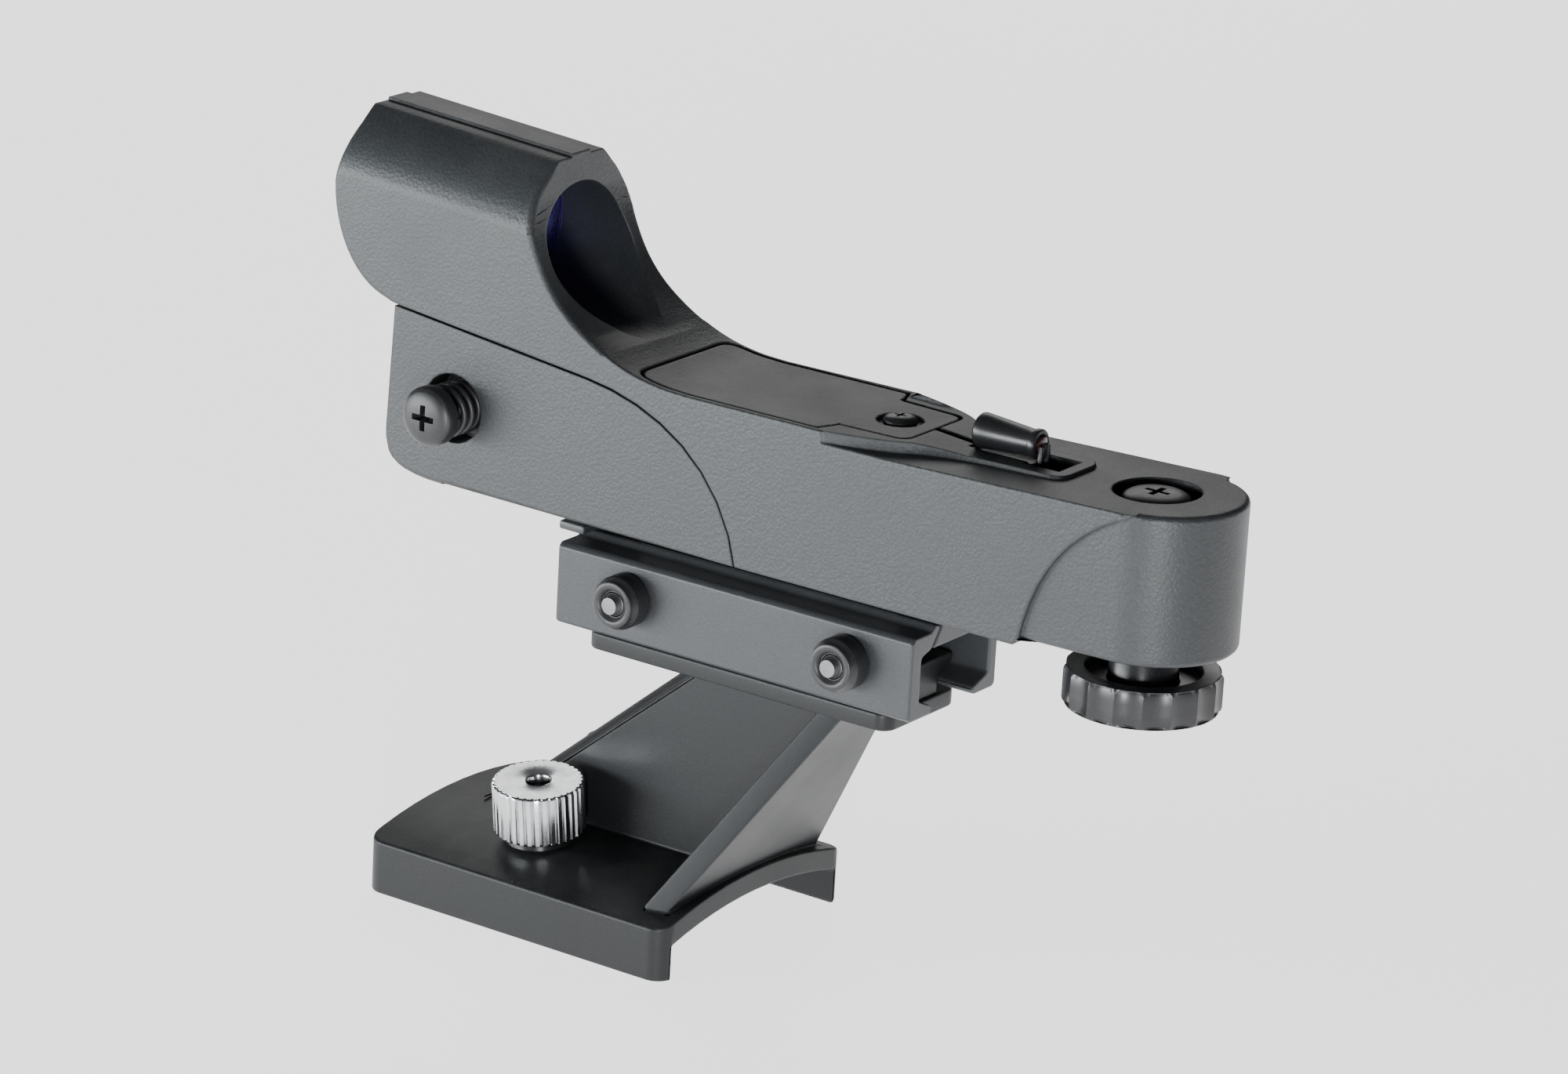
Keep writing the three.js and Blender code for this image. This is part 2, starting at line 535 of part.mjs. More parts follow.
// The space below the middle of the saddle plate, so that the web and slab stop inside the plate.
function underArch() {
  const { topZ, outerRadius, thick } = FOOT;
  const roof = rod(outerRadius - thick / 2, Y, [0, 0, topZ - outerRadius], -5, 95, 96);
  return common(box(-30, 30, 0, 90, -60, -28), roof);
}

// The studs stand square to the telescope's tube, so each leans out with it.
function studPlace(x) {
  const centre = FOOT.topZ - FOOT.outerRadius;
  const lean = Math.asin(x / FOOT.outerRadius);
  const axis = new THREE.Vector3(Math.sin(lean), 0, Math.cos(lean));
  const seat = new THREE.Vector3(0, STUD.y, centre).addScaledVector(axis, FOOT.outerRadius);
  return { axis, seat: seat.toArray() };
}

function studRod(x, radius, low, high) {
  const { axis, seat } = studPlace(x);
  return rod(radius, axis, seat, low, high, 20);
}

function mountingStud(x) {
  const { axis, seat } = studPlace(x);
  const low = -FOOT.thick - 3.6;
  return turned([[0, low], [STUD.radius, low], [STUD.radius, low + STUD.length - 0.5],
    [STUD.radius - 0.5, low + STUD.length], [0, low + STUD.length]], axis, seat, 20);
}

function thumbNut(x) {
  const { radius, height, flutes, cap, hole } = THUMB_NUT;
  const { axis, seat } = studPlace(x);
  const bore = STUD.radius + GAP / 2;
  const rim = Array.from({ length: flutes * 2 }, (_, i) => {
    const angle = (i / (flutes * 2)) * Math.PI * 2;
    const reach = i % 2 ? radius : radius - 0.35;
    return [Math.cos(angle) * reach, Math.sin(angle) * reach];
  });
  const fluted = upZ(outline(rim), GAP, GAP + height);
  const turnedShape = turned([[bore, GAP], [4.9, GAP], [4.9, GAP + 1], [radius, GAP + 1.4],
    [radius, GAP + height - 0.4], [radius - 0.4, GAP + height], [hole + 0.3, GAP + height],
    [hole, GAP + height - 0.3], [hole, GAP + height - cap], [bore, GAP + height - cap],
    [bore, GAP]], Z, [0, 0, 0], 40);
  const turn = new THREE.Quaternion().setFromUnitVectors(Z, axis);
  return solid(geometryOf(common(fluted, turnedShape)).applyQuaternion(turn).translate(...seat));
}

// ---------------------------------------------------------------- electrics and optics
function lens() {
  const profile = [[0, -0.6], [3, -0.52], [6, -0.25], [LENS.rim, 0.3], [LENS.rim, 2], [6, 1.55],
    [3, 1.25], [0, 1.15]].map(([radius, s]) => [radius, LENS.seat + s]);
  return turned(profile, boreAxis, [0, BORE.y, BORE.z], 40);
}

function lensRing() {
  const profile = [[8.3, 0], [9.2, 0], [9.2, 2.2], [8.5, 2.2], [8.3, 2], [8.3, 0]]
    .map(([radius, s]) => [radius, LENS.ring + s]);
  return turned(profile, boreAxis, [0, BORE.y, BORE.z], 40);
}

function potentiometer() {
  return join(box(1.4, 8.4, DIAL.y - 4.6, DIAL.y + 4.6, 26.7, 32.2),
    rod(1.4, X, [0, DIAL.y, DIAL.z], 8, 12.6, 14));
}

function brightnessDial() {
  const low = BODY_HALF + GAP;
  const high = low + DIAL.proud;
  const body = turned([[0, 12.9], [1.6, 12.9], [1.6, low], [DIAL.radius, low],
    [DIAL.radius, high - 0.5], [DIAL.radius - 0.5, high], [0, high]], X, [0, DIAL.y, DIAL.z], 30);
  const mark = box(high - 0.5, high + 1, DIAL.y - 0.4, DIAL.y + 0.4, DIAL.z + 0.8, DIAL.z + 5);
  return cut(body, mark);
}

function negativeContact() {
  const leaf = roundedRectangle(-2.5, 2.5, CELL.y - 7, CELL.y + 7, 1.5);
  return upZ(leaf, BOARD.high + 0.1, CELL.low - 0.15, 3);
}

function positiveContact() {
  const rear = CELL.y - CELL.radius;
  return join(box(-3, 3, rear - 1.4, rear - 0.4, BOARD.high + 0.1, CELL.low + 2.6),
    box(-3, 3, rear - 3, rear - 0.9, BOARD.high + 0.1, BOARD.high + 0.6));
}

function assemblyScrew(x) {
  return cut(turned([[0, 15.6], [1.7, 15.6], [2, 16], [2, 18.2], [0.95, 18.2], [0.95, 30], [0, 30.6]],
    Z, [x, CASE_SCREW.y, 0], 16), crossRecess(Z.clone().negate(), [x, CASE_SCREW.y, 15.6], 2.2, 0.9));
}

// ---------------------------------------------------------------- the assembly
const shells = bodyShells();
piece("upper_housing", shells.upper, "shell");
piece("lower_shell", shells.lower, "shell");
piece("battery_cover", batteryCover(), "shell");
piece("battery_cover_screw", coverScrew(), "black");
piece("coin_cell", rod(CELL.radius, Z, [0, CELL.y, 0], CELL.low, CELL.low + CELL.height, 32), "cell");
piece("negative_contact", negativeContact(), "contact");
piece("positive_contact", positiveContact(), "contact");
piece("circuit_board",
  box(-BOARD.half, BOARD.half, BOARD.rear, BOARD.front, BOARD.low, BOARD.high), "board");
piece("brightness_potentiometer", potentiometer(), "black");
piece("brightness_dial", brightnessDial(), "knob");
piece("led", led(), "led");
piece("led_hood", ledHood(), "knob");
piece("lens", lens(), "lens");
piece("lens_retaining_ring", lensRing(), "knob");
piece("altitude_screw", altitudeScrew(), "black");
piece("altitude_knob", scallopedKnob(Z, [0, ALT.y, 0], KNOB_TOP_Z - KNOB.height), "knob");
piece("azimuth_screw", azimuthScrew(), "black");
piece("azimuth_knob", scallopedKnob(X.clone().negate(), [0, AZI.y, AZI.z],
  -BODY_HALF - GAP - KNOB.hub - KNOB.height), "knob");
piece("azimuth_spring", coilSpring(3.2, 0.45, 4, -AZI_HEAD_X - AZI.headHeight - 0.2 - 7.4,
  X.clone().negate(), [-7.4, AZI.y, AZI.z]), "black");
piece("assembly_screw_left", assemblyScrew(-CASE_SCREW.x), "black");
piece("assembly_screw_right", assemblyScrew(CASE_SCREW.x), "black");
piece("base_arm", baseArm(), "clamp");
piece("moving_jaw", movingJaw(), "clamp");
CLAMP.screws.forEach((y, i) => {
  const end = i ? "front" : "rear";
  piece(`clamp_screw_${end}`, clampScrew(y), "steel");
  piece(`clamp_nut_${end}`, clampNut(y), "black");
});
piece("mounting_bracket", bracket(), "clamp");
[["left", -STUD.x], ["right", STUD.x]].forEach(([side, x]) => {
  piece(`mounting_stud_${side}`, mountingStud(x), "steel");
  piece(`thumb_nut_${side}`, thumbNut(x), "chrome");
});

const group = new THREE.Group();
group.add(finder);

export default group;
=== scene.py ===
"""A red dot finder in its real finishes, made piece by piece around its fixed frame.

Sizes in millimetres carry MM. Places are given by at(x, y, z), in millimetres from the middle of the
clamp's rear lower edge: x to the observer's right, y forward along the line of sight, z up.
"""

import json
import math

import bpy
from mathutils import Matrix, Vector


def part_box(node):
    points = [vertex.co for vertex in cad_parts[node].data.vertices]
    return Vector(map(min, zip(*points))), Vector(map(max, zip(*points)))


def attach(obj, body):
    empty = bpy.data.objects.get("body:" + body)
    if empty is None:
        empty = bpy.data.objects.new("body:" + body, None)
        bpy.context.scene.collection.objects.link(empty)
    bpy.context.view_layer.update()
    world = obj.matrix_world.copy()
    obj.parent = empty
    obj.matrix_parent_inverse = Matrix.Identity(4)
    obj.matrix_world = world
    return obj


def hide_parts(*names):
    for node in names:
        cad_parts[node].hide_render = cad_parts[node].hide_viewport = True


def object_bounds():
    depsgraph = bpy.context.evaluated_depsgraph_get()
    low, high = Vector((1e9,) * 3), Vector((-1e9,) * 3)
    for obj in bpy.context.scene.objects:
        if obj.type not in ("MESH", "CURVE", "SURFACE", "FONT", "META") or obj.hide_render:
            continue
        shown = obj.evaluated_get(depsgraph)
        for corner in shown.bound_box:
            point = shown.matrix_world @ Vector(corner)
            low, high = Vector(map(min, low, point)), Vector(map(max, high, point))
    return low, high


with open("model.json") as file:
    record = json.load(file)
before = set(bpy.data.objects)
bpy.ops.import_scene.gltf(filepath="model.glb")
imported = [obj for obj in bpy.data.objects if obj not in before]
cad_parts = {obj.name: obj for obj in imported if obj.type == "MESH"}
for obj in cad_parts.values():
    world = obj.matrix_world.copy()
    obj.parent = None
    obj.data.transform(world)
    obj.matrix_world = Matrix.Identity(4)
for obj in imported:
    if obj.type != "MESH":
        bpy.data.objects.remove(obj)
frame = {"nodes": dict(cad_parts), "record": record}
CAD_BOX = [list(corner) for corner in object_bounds()]

bl_info = {
    "name": "Red Dot Finder",
    "version": (1, 0, 0),
    "blender": (4, 5, 0),
    "location": "View3D > Sidebar > Finder",
    "description": "Makes the pieces and finishes of a telescope's red dot finder",
    "category": "Object",
}

MM = 0.001
CLAMP_REAR = Vector((0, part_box("moving_jaw")[0].y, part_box("moving_jaw")[0].z))
UP = Vector((0, 0, 1))
LEFT = Vector((-1, 0, 0))

# Places and slopes taken over from the finder's own design, in millimetres.
TAIL_SCREW_Y = -27
CROSS_SCREW = (71.5, 25)
COVER_SCREW_Y = 10.4
CLAMP_SCREWS_Y = (9.5, 43)
CLAMP_SCREW_Z = 6
CASE_SCREWS = ((-5.5, 78, 15.6), (5.5, 78, 15.6))
HOOD = (-1.4, 36.1)
BORE = (61, 46.5, math.radians(3.5))
BODY_HALF = 10.9
TAIL_HALF = 10.2
TAIL_CENTRE_Y = -28.2
SADDLE_RADIUS = 72
STUD_SIDE = 9
STUD_Y = 56
SADDLE_TOP_Z = -29.5

# The camera's axes, its place along them in millimetres, and how far it turns off its own axis.
CAMERA_RIGHT = Vector((0.57182223, -0.81845379, 0.0561492))
CAMERA_UP = Vector((0.29777411, 0.27084406, 0.91540924))
CAMERA_BACK = Vector((-0.76442784, -0.50673157, 0.39858901))
CAMERA_PLACE = (-15.66, -48.58, 754.72)
AIM_RIGHT = -0.007
AIM_UP = 0.092


def at(x, y, z):
    """A place on the finder, in metres."""
    return CLAMP_REAR + Vector((x, y, z)) * MM


# ------------------------------------------------------------------ settings
class FinderSizes(bpy.types.PropertyGroup):
    moulded_edge: bpy.props.FloatProperty(
        name="Moulded edge", description="Radius on the long edges of the body",
        default=0.75 * MM, min=0, unit="LENGTH")
    small_edge: bpy.props.FloatProperty(
        name="Small edge", description="Radius on the edges of the clamp and the bracket",
        default=0.35 * MM, min=0, unit="LENGTH")
    scallops: bpy.props.IntProperty(
        name="Scallops", description="Finger scallops round each aiming knob", default=17, min=3)
    scallop_depth: bpy.props.FloatProperty(
        name="Scallop depth", description="How far each scallop goes into the knob's rim",
        default=0.75 * MM, min=0, unit="LENGTH")
    flutes: bpy.props.IntProperty(
        name="Flutes", description="Grip flutes round each thumb nut", default=36, min=6)
    spring_turns: bpy.props.IntProperty(
        name="Spring turns", description="Turns of the cross screw's spring", default=4, min=1)


class FinderFinishes(bpy.types.PropertyGroup):
    body_colour: bpy.props.FloatVectorProperty(
        name="Body", description="Moulded body and battery cover", subtype="COLOR", size=3,
        default=(0.03, 0.033, 0.036), min=0, max=1)
    clamp_colour: bpy.props.FloatVectorProperty(
        name="Clamp", description="Clamp and its arm", subtype="COLOR", size=3,
        default=(0.04, 0.043, 0.047), min=0, max=1)
    bracket_colour: bpy.props.FloatVectorProperty(
        name="Bracket", description="Painted mounting bracket", subtype="COLOR", size=3,
        default=(0.011, 0.012, 0.0135), min=0, max=1)
    knob_colour: bpy.props.FloatVectorProperty(
        name="Knobs", description="Aiming knobs, dial and light hood", subtype="COLOR", size=3,
        default=(0.012, 0.012, 0.014), min=0, max=1)
    steel_colour: bpy.props.FloatVectorProperty(
        name="Blackened steel", description="Screws and spring", subtype="COLOR", size=3,
        default=(0.016, 0.016, 0.018), min=0, max=1)
    worn_colour: bpy.props.FloatVectorProperty(
        name="Worn edge", description="Paler tone that handling leaves on edges", subtype="COLOR",
        size=3, default=(0.17, 0.18, 0.19), min=0, max=1)
    dust_colour: bpy.props.FloatVectorProperty(
        name="Dust", description="Fine dust on faces that look up", subtype="COLOR", size=3,
        default=(0.32, 0.31, 0.29), min=0, max=1)
    lens_tint: bpy.props.FloatVectorProperty(
        name="Lens tint", description="Coated glass of the lens", subtype="COLOR", size=3,
        default=(0.45, 0.44, 0.86), min=0, max=1)
    grain_size: bpy.props.FloatProperty(
        name="Grain size", description="Width of a pebble in the body's moulded grain",
        default=0.45 * MM, min=0.01 * MM, unit="LENGTH")
    grain_depth: bpy.props.FloatProperty(
        name="Grain depth", description="Depth of the body's moulded grain",
        default=0.055 * MM, min=0, unit="LENGTH")


class FinderStudio(bpy.types.PropertyGroup):
    floor_colour: bpy.props.FloatVectorProperty(
        name="Floor", description="Pale studio floor", subtype="COLOR", size=3,
        default=(0.80, 0.80, 0.79), min=0, max=1)
    floor_glow: bpy.props.FloatProperty(
        name="Floor glow", description="Light the floor gives of its own, as over a light table",
        default=1.8, min=0)
    side_light: bpy.props.FloatProperty(
        name="Side light", description="Large soft light on the finder's left", default=6,
        min=0, unit="POWER")
    top_light: bpy.props.FloatProperty(
        name="Top light", description="Soft light beyond the right side, skimming the tops",
        default=2.2, min=0, unit="POWER")
    tail_light: bpy.props.FloatProperty(
        name="Tail light", description="Narrow light behind the tail", default=2.2, min=0,
        unit="POWER")
    surroundings: bpy.props.FloatProperty(
        name="Surroundings", description="Strength of the even light from all round", default=0.06,
        min=0)
    lens_length: bpy.props.FloatProperty(
        name="Camera lens", description="Focal length on a 36 mm wide frame, in millimetres",
        default=140, min=1)


# ------------------------------------------------------------------ working on a piece
def only(obj):
    """Leaves one object selected and active, out of edit mode."""
    if bpy.context.object and bpy.context.object.mode != "OBJECT":
        bpy.ops.object.mode_set(mode="OBJECT")
    bpy.ops.object.select_all(action="DESELECT")
    obj.select_set(True)
    bpy.context.view_layer.objects.active = obj
    return obj


def edit(obj, kind="VERT"):
    """Opens a piece in edit mode with nothing selected."""
    only(obj)
    bpy.ops.object.mode_set(mode="EDIT")
    bpy.ops.mesh.select_mode(type=kind)
    bpy.ops.mesh.select_all(action="DESELECT")


def done():
    bpy.ops.object.mode_set(mode="OBJECT")


def pick_points(obj, wanted):
    """Selects the points that wanted(place) says yes to, and opens the piece in edit mode."""
    edit(obj)
    done()
    for point in obj.data.vertices:
        point.select = wanted(point.co)
    bpy.ops.object.mode_set(mode="EDIT")


def apply(obj, kind, **settings):
    """Adds a modifier, sets it and applies it."""
    only(obj)
    modifier = obj.modifiers.new(kind.title(), kind)
    for name, value in settings.items():
        setattr(modifier, name, value)
    bpy.ops.object.modifier_apply(modifier=modifier.name)
    return obj


def face_outwards(obj):
    edit(obj)
    bpy.ops.mesh.select_all(action="SELECT")
    bpy.ops.mesh.remove_doubles(threshold=0.001 * MM)
    bpy.ops.mesh.normals_make_consistent(inside=False)
    done()
    return obj


def soften(obj, width, segments=2, corner=32):
    """Rounds every sharp edge and smooths the rest."""
    apply(obj, "BEVEL", width=width, segments=segments, limit_method="ANGLE",
          angle_limit=math.radians(corner))
    return smooth(obj)


def smooth(obj, corner=38):
    only(obj)
    bpy.ops.object.shade_smooth_by_angle(angle=math.radians(corner))
    return obj


def turned(name, profile, sides=64):
    """A piece turned about Z from (radius, height) steps in millimetres.

    A profile that ends where it began is a ring. Any other has its two ends closed.
    """
    radius, height = profile[0]
    bpy.ops.mesh.primitive_circle_add(
        vertices=sides, radius=radius * MM, location=(0, 0, height * MM))
    obj = bpy.context.object
    obj.name = obj.data.name = name
    only(obj)
    bpy.ops.object.transform_apply(location=True, rotation=True, scale=True)
    bpy.ops.object.mode_set(mode="EDIT")
    bpy.ops.mesh.select_all(action="SELECT")
    for next_radius, next_height in profile[1:]:
        bpy.ops.mesh.extrude_region_move(
            TRANSFORM_OT_translate={"value": (0, 0, (next_height - height) * MM)})
        grow = next_radius / radius
        if abs(grow - 1) > 1e-6:
            bpy.ops.transform.resize(
                value=(grow, grow, 1), center_override=(0, 0, next_height * MM))
        radius, height = next_radius, next_height
    if profile[0] != profile[-1]:
        bpy.ops.mesh.select_all(action="SELECT")
        bpy.ops.mesh.fill_holes(sides=0)
    done()
    return face_outwards(obj)


def cut(obj, tool, keep_tool=False):
    """Takes one shape out of another."""
    apply(obj, "BOOLEAN", operation="DIFFERENCE", object=tool, solver="EXACT")
    if not keep_tool:
        bpy.data.objects.remove(tool)
    return obj


def cross_recess(obj, top, size, depth):
    """Sinks a cross-head recess into a screw's face, which looks up at height top."""
    for angle in (0, math.pi / 2):
        bpy.ops.mesh.primitive_cube_add(size=1, location=(0, 0, 0))
        blade = bpy.context.object
        blade.scale = (size * MM, 0.24 * size * MM, 2 * depth * MM)
        blade.location = (0, 0, top * MM)
        blade.rotation_euler = (0, 0, angle)
        only(blade)
        bpy.ops.object.transform_apply(location=True, rotation=True, scale=True)
        pick_points(blade, lambda co: co.z < top * MM)
        bpy.ops.transform.resize(value=(0.45, 0.45, 1), center_override=(0, 0, top * MM))
        done()
        cut(obj, blade)
    return obj


def copy_of(obj, name):
    """A second piece of the same shape, with its own mesh."""
    twin = bpy.data.objects.new(name, obj.data.copy())
    bpy.context.scene.collection.objects.link(twin)
    return twin


def stand(obj, place, axis):
    """Turns a piece made about Z onto its own axis and sets it in its place."""
    obj.matrix_world = Matrix.Translation(place) @ axis.to_track_quat("Z", "Y").to_matrix().to_4x4()
    only(obj)
    bpy.ops.object.transform_apply(location=True, rotation=True, scale=True)
    return obj


def fit(obj, material, body, slot, *nodes):
    """Gives a finished piece its finish and its place in the assembly, and hides the nodes it stands
    for.
    """
    obj.data.materials.clear()
    obj.data.materials.append(material)
    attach(obj, body)
    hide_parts(*nodes)
    return obj


def merged_copy(node, name):
    """A frame node's own shape as one clean mesh, ready to be worked on."""
    obj = bpy.data.objects.new(name, frame["nodes"][node].data.copy())
    bpy.context.scene.collection.objects.link(obj)
    only(obj)
    if obj.data.has_custom_normals:
        bpy.ops.mesh.customdata_custom_splitnormals_clear()
    edit(obj)
    bpy.ops.mesh.select_all(action="SELECT")
    bpy.ops.mesh.remove_doubles(threshold=0.002 * MM)
    bpy.ops.mesh.dissolve_limited(angle_limit=math.radians(0.8))
    done()
    return obj


def round_edges(obj, width, segments, share, corner=28):
    """Rounds the sharp edges, each by the share of the width that share(one end, other end) gives."""
    mesh = obj.data
    normals = {}
    for face in mesh.polygons:
        for key in face.edge_keys:
            normals.setdefault(key, []).append(face.normal)
    weights = mesh.attributes.new("bevel_weight_edge", "FLOAT", "EDGE")
    for edge in mesh.edges:
        sides = normals.get(edge.key, [])
        if len(sides) == 2 and sides[0].angle(sides[1], 0) > math.radians(corner):
            ends = [mesh.vertices[i].co for i in edge.vertices]
            weights.data[edge.index].value = share(*ends)
    apply(obj, "BEVEL", width=width, segments=segments, limit_method="WEIGHT",
          use_clamp_overlap=False, miter_outer="MITER_ARC")
    smooth(obj)
    return apply(obj, "WEIGHTED_NORMAL", keep_sharp=True, weight=80)


# ------------------------------------------------------------------ finishes
def node_group(name, inputs, outputs):
    group = bpy.data.node_groups.new(name, "ShaderNodeTree")
    for label, kind, value in inputs:
        socket = group.interface.new_socket(name=label, in_out="INPUT", socket_type=kind)
        if value is not None:
            socket.default_value = value
    for label, kind in outputs:
        group.interface.new_socket(name=label, in_out="OUTPUT", socket_type=kind)
    return group


class Wiring:
    """Short words for laying out a node tree."""

    def __init__(self, tree):
        self.tree = tree
        self.across = 0

    def add(self, kind, **settings):
        node = self.tree.nodes.new("ShaderNode" + kind)
        node.location = (self.across, 0)
        self.across += 190
        for name, value in settings.items():
            setattr(node, name, value)
        return node

    def set(self, socket, value):
        if isinstance(value, bpy.types.NodeSocket):
            self.tree.links.new(value, socket)
        else:
            socket.default_value = value

    def math(self, operation, first, second=None, clamp=False):
        node = self.add("Math", operation=operation, use_clamp=clamp)
        self.set(node.inputs[0], first)
        if second is not None:
            self.set(node.inputs[1], second)
        return node.outputs[0]

    def noise(self, vector, scale, detail=3, roughness=0.55):
        node = self.add("TexNoise")
        self.set(node.inputs["Vector"], vector)
        self.set(node.inputs["Scale"], scale)
        self.set(node.inputs["Detail"], detail)
        self.set(node.inputs["Roughness"], roughness)
        return node.outputs["Fac"]

    def ramp(self, value, low, high, to_low=0, to_high=1):
        node = self.add("MapRange")
        self.set(node.inputs["Value"], value)
        for label, number in (("From Min", low), ("From Max", high), ("To Min", to_low),
                              ("To Max", to_high)):
            self.set(node.inputs[label], number)
        return node.outputs["Result"]

    def mix(self, factor, first, second):
        node = self.add("Mix", data_type="RGBA")
        self.set(node.inputs[0], factor)
        self.set(node.inputs[6], first)
        self.set(node.inputs[7], second)
        return node.outputs[2]


def grain_group():
    """Pebbled grain of a moulded surface: a height for the bump and a slight change of tone."""
    group = node_group(
        "moulded grain",
        [("Vector", "NodeSocketVector", None), ("Size", "NodeSocketFloat", 0.0004),
         ("Depth", "NodeSocketFloat", 0.00005)],
        [("Height", "NodeSocketFloat"), ("Tone", "NodeSocketFloat")])
    w = Wiring(group)
    entry = group.nodes.new("NodeGroupInput")
    leave = group.nodes.new("NodeGroupOutput")
    scale = w.math("DIVIDE", 1.0, entry.outputs["Size"])
    drift = w.noise(entry.outputs["Vector"], scale, 1)
    cells = w.add("TexVoronoi", feature="SMOOTH_F1")
    w.set(cells.inputs["Vector"], entry.outputs["Vector"])
    w.set(cells.inputs["Scale"], scale)
    w.set(cells.inputs["Smoothness"], 0.55)
    pebbles = w.ramp(cells.outputs["Distance"], 0.1, 0.75, 1, 0)
    fine = w.noise(entry.outputs["Vector"], w.math("MULTIPLY", scale, 2.7), 2)
    blend = w.math("ADD", w.math("MULTIPLY", pebbles, 0.4), w.math("MULTIPLY", fine, 0.6))
    w.set(leave.inputs["Height"], w.math("MULTIPLY", blend, entry.outputs["Depth"]))
    w.set(leave.inputs["Tone"], w.math("MULTIPLY", blend, w.ramp(drift, 0.3, 0.7, 0.7, 1.1)))
    return group


def wear_group():
    """How much handling has polished an edge: 0 on flats, up to 1 on the corners that stick out."""
    group = node_group(
        "edge wear",
        [("Vector", "NodeSocketVector", None), ("Reach", "NodeSocketFloat", 0.0005),
         ("Amount", "NodeSocketFloat", 0.5), ("Patch size", "NodeSocketFloat", 0.006)],
        [("Mask", "NodeSocketFloat")])
    w = Wiring(group)
    entry = group.nodes.new("NodeGroupInput")
    leave = group.nodes.new("NodeGroupOutput")
    rounded = w.add("Bevel", samples=6)
    w.set(rounded.inputs["Radius"], entry.outputs["Reach"])
    shape = w.add("NewGeometry")
    agree = w.add("VectorMath", operation="DOT_PRODUCT")
    w.set(agree.inputs[0], rounded.outputs["Normal"])
    w.set(agree.inputs[1], shape.outputs["True Normal"])
    edge = w.ramp(agree.outputs["Value"], 0.995, 0.8)
    patches = w.noise(entry.outputs["Vector"],
                      w.math("DIVIDE", 1.0, entry.outputs["Patch size"]), 4, 0.7)
    mask = w.math("MULTIPLY", edge, w.ramp(patches, 0.38, 0.68))
    w.set(leave.inputs["Mask"], w.math("MULTIPLY", mask, entry.outputs["Amount"], clamp=True))
    return group


def dust_group():
    """Fine dust that lies on the faces that look up, thicker in soft patches."""
    group = node_group(
        "settled dust",
        [("Vector", "NodeSocketVector", None), ("Amount", "NodeSocketFloat", 0.15)],
        [("Mask", "NodeSocketFloat")])
    w = Wiring(group)
    entry = group.nodes.new("NodeGroupInput")
    leave = group.nodes.new("NodeGroupOutput")
    shape = w.add("NewGeometry")
    split = w.add("SeparateXYZ")
    w.set(split.inputs[0], shape.outputs["Normal"])
    upward = w.ramp(split.outputs["Z"], 0.3, 0.95)
    patches = w.ramp(w.noise(entry.outputs["Vector"], 140, 4, 0.6), 0.42, 0.75)
    specks = w.ramp(w.noise(entry.outputs["Vector"], 5200, 1), 0.66, 0.74)
    cover = w.math("ADD", w.math("MULTIPLY", patches, 0.5), w.math("MULTIPLY", specks, 0.9))
    mask = w.math("MULTIPLY", upward, cover)
    w.set(leave.inputs["Mask"], w.math("MULTIPLY", mask, entry.outputs["Amount"], clamp=True))
    return group


def place_group(w, name, **inputs):
    node = w.add("Group", node_tree=bpy.data.node_groups[name])
    for label, value in inputs.items():
        w.set(node.inputs[label.replace("_", " ")], value)
    return node


def new_finish(name):
    """An empty finish: its wiring, its shader and the piece's own coordinates."""
    material = bpy.data.materials.new(name)
    material.use_nodes = True
    material.node_tree.nodes.clear()
    w = Wiring(material.node_tree)
    where = w.add("TexCoord").outputs["Object"]
    shader = material.node_tree.nodes.new("ShaderNodeBsdfPrincipled")
    out = material.node_tree.nodes.new("ShaderNodeOutputMaterial")
    material.node_tree.links.new(shader.outputs["BSDF"], out.inputs["Surface"])
    shader.location, out.location = (2600, 0), (2900, 0)
    return material, w, where, shader


def colour(value):
    return (*value, 1)


def moulding(name, tone, rough, grain, depth, edge, wear=0.4, dust=0.12, gloss=0.4):
    """A moulded or painted finish: grain, cloudy tone, polished edges and a little dust."""
    finishes = bpy.context.scene.finder_finishes
    material, w, where, shader = new_finish(name)
    pebbles = place_group(w, "moulded grain", Vector=where, Size=grain, Depth=depth)
    worn = place_group(w, "edge wear", Vector=where, Reach=edge, Amount=wear)
    dusty = place_group(w, "settled dust", Vector=where, Amount=dust)
    clouds = w.noise(where, 60, 5, 0.6)
    darker = tuple(0.78 * part for part in tone)
    lighter = tuple(1.2 * part for part in tone)
    base = w.mix(w.ramp(pebbles.outputs["Tone"], 0.25, 0.85), colour(darker), colour(lighter))
    base = w.mix(w.ramp(clouds, 0.35, 0.7, 0, 0.35), base, colour(tone))
    base = w.mix(worn.outputs["Mask"], base, colour(finishes.worn_colour))
    base = w.mix(dusty.outputs["Mask"], base, colour(finishes.dust_colour))
    w.set(shader.inputs["Base Color"], base)
    varied = w.math("ADD", w.ramp(clouds, 0.3, 0.7, rough - 0.04, rough + 0.05),
                    w.math("MULTIPLY", dusty.outputs["Mask"], 0.3))
    w.set(shader.inputs["Roughness"],
          w.math("SUBTRACT", varied, w.math("MULTIPLY", worn.outputs["Mask"], 0.12)))
    shader.inputs["Specular IOR Level"].default_value = gloss
    rounded = w.add("Bevel", samples=6)
    w.set(rounded.inputs["Radius"], edge)
    bump = w.add("Bump")
    w.set(bump.inputs["Strength"], 1.0)
    w.set(bump.inputs["Distance"], 1.0)
    w.set(bump.inputs["Height"], pebbles.outputs["Height"])
    w.set(bump.inputs["Normal"], rounded.outputs["Normal"])
    w.set(shader.inputs["Normal"], bump.outputs["Normal"])
    return material


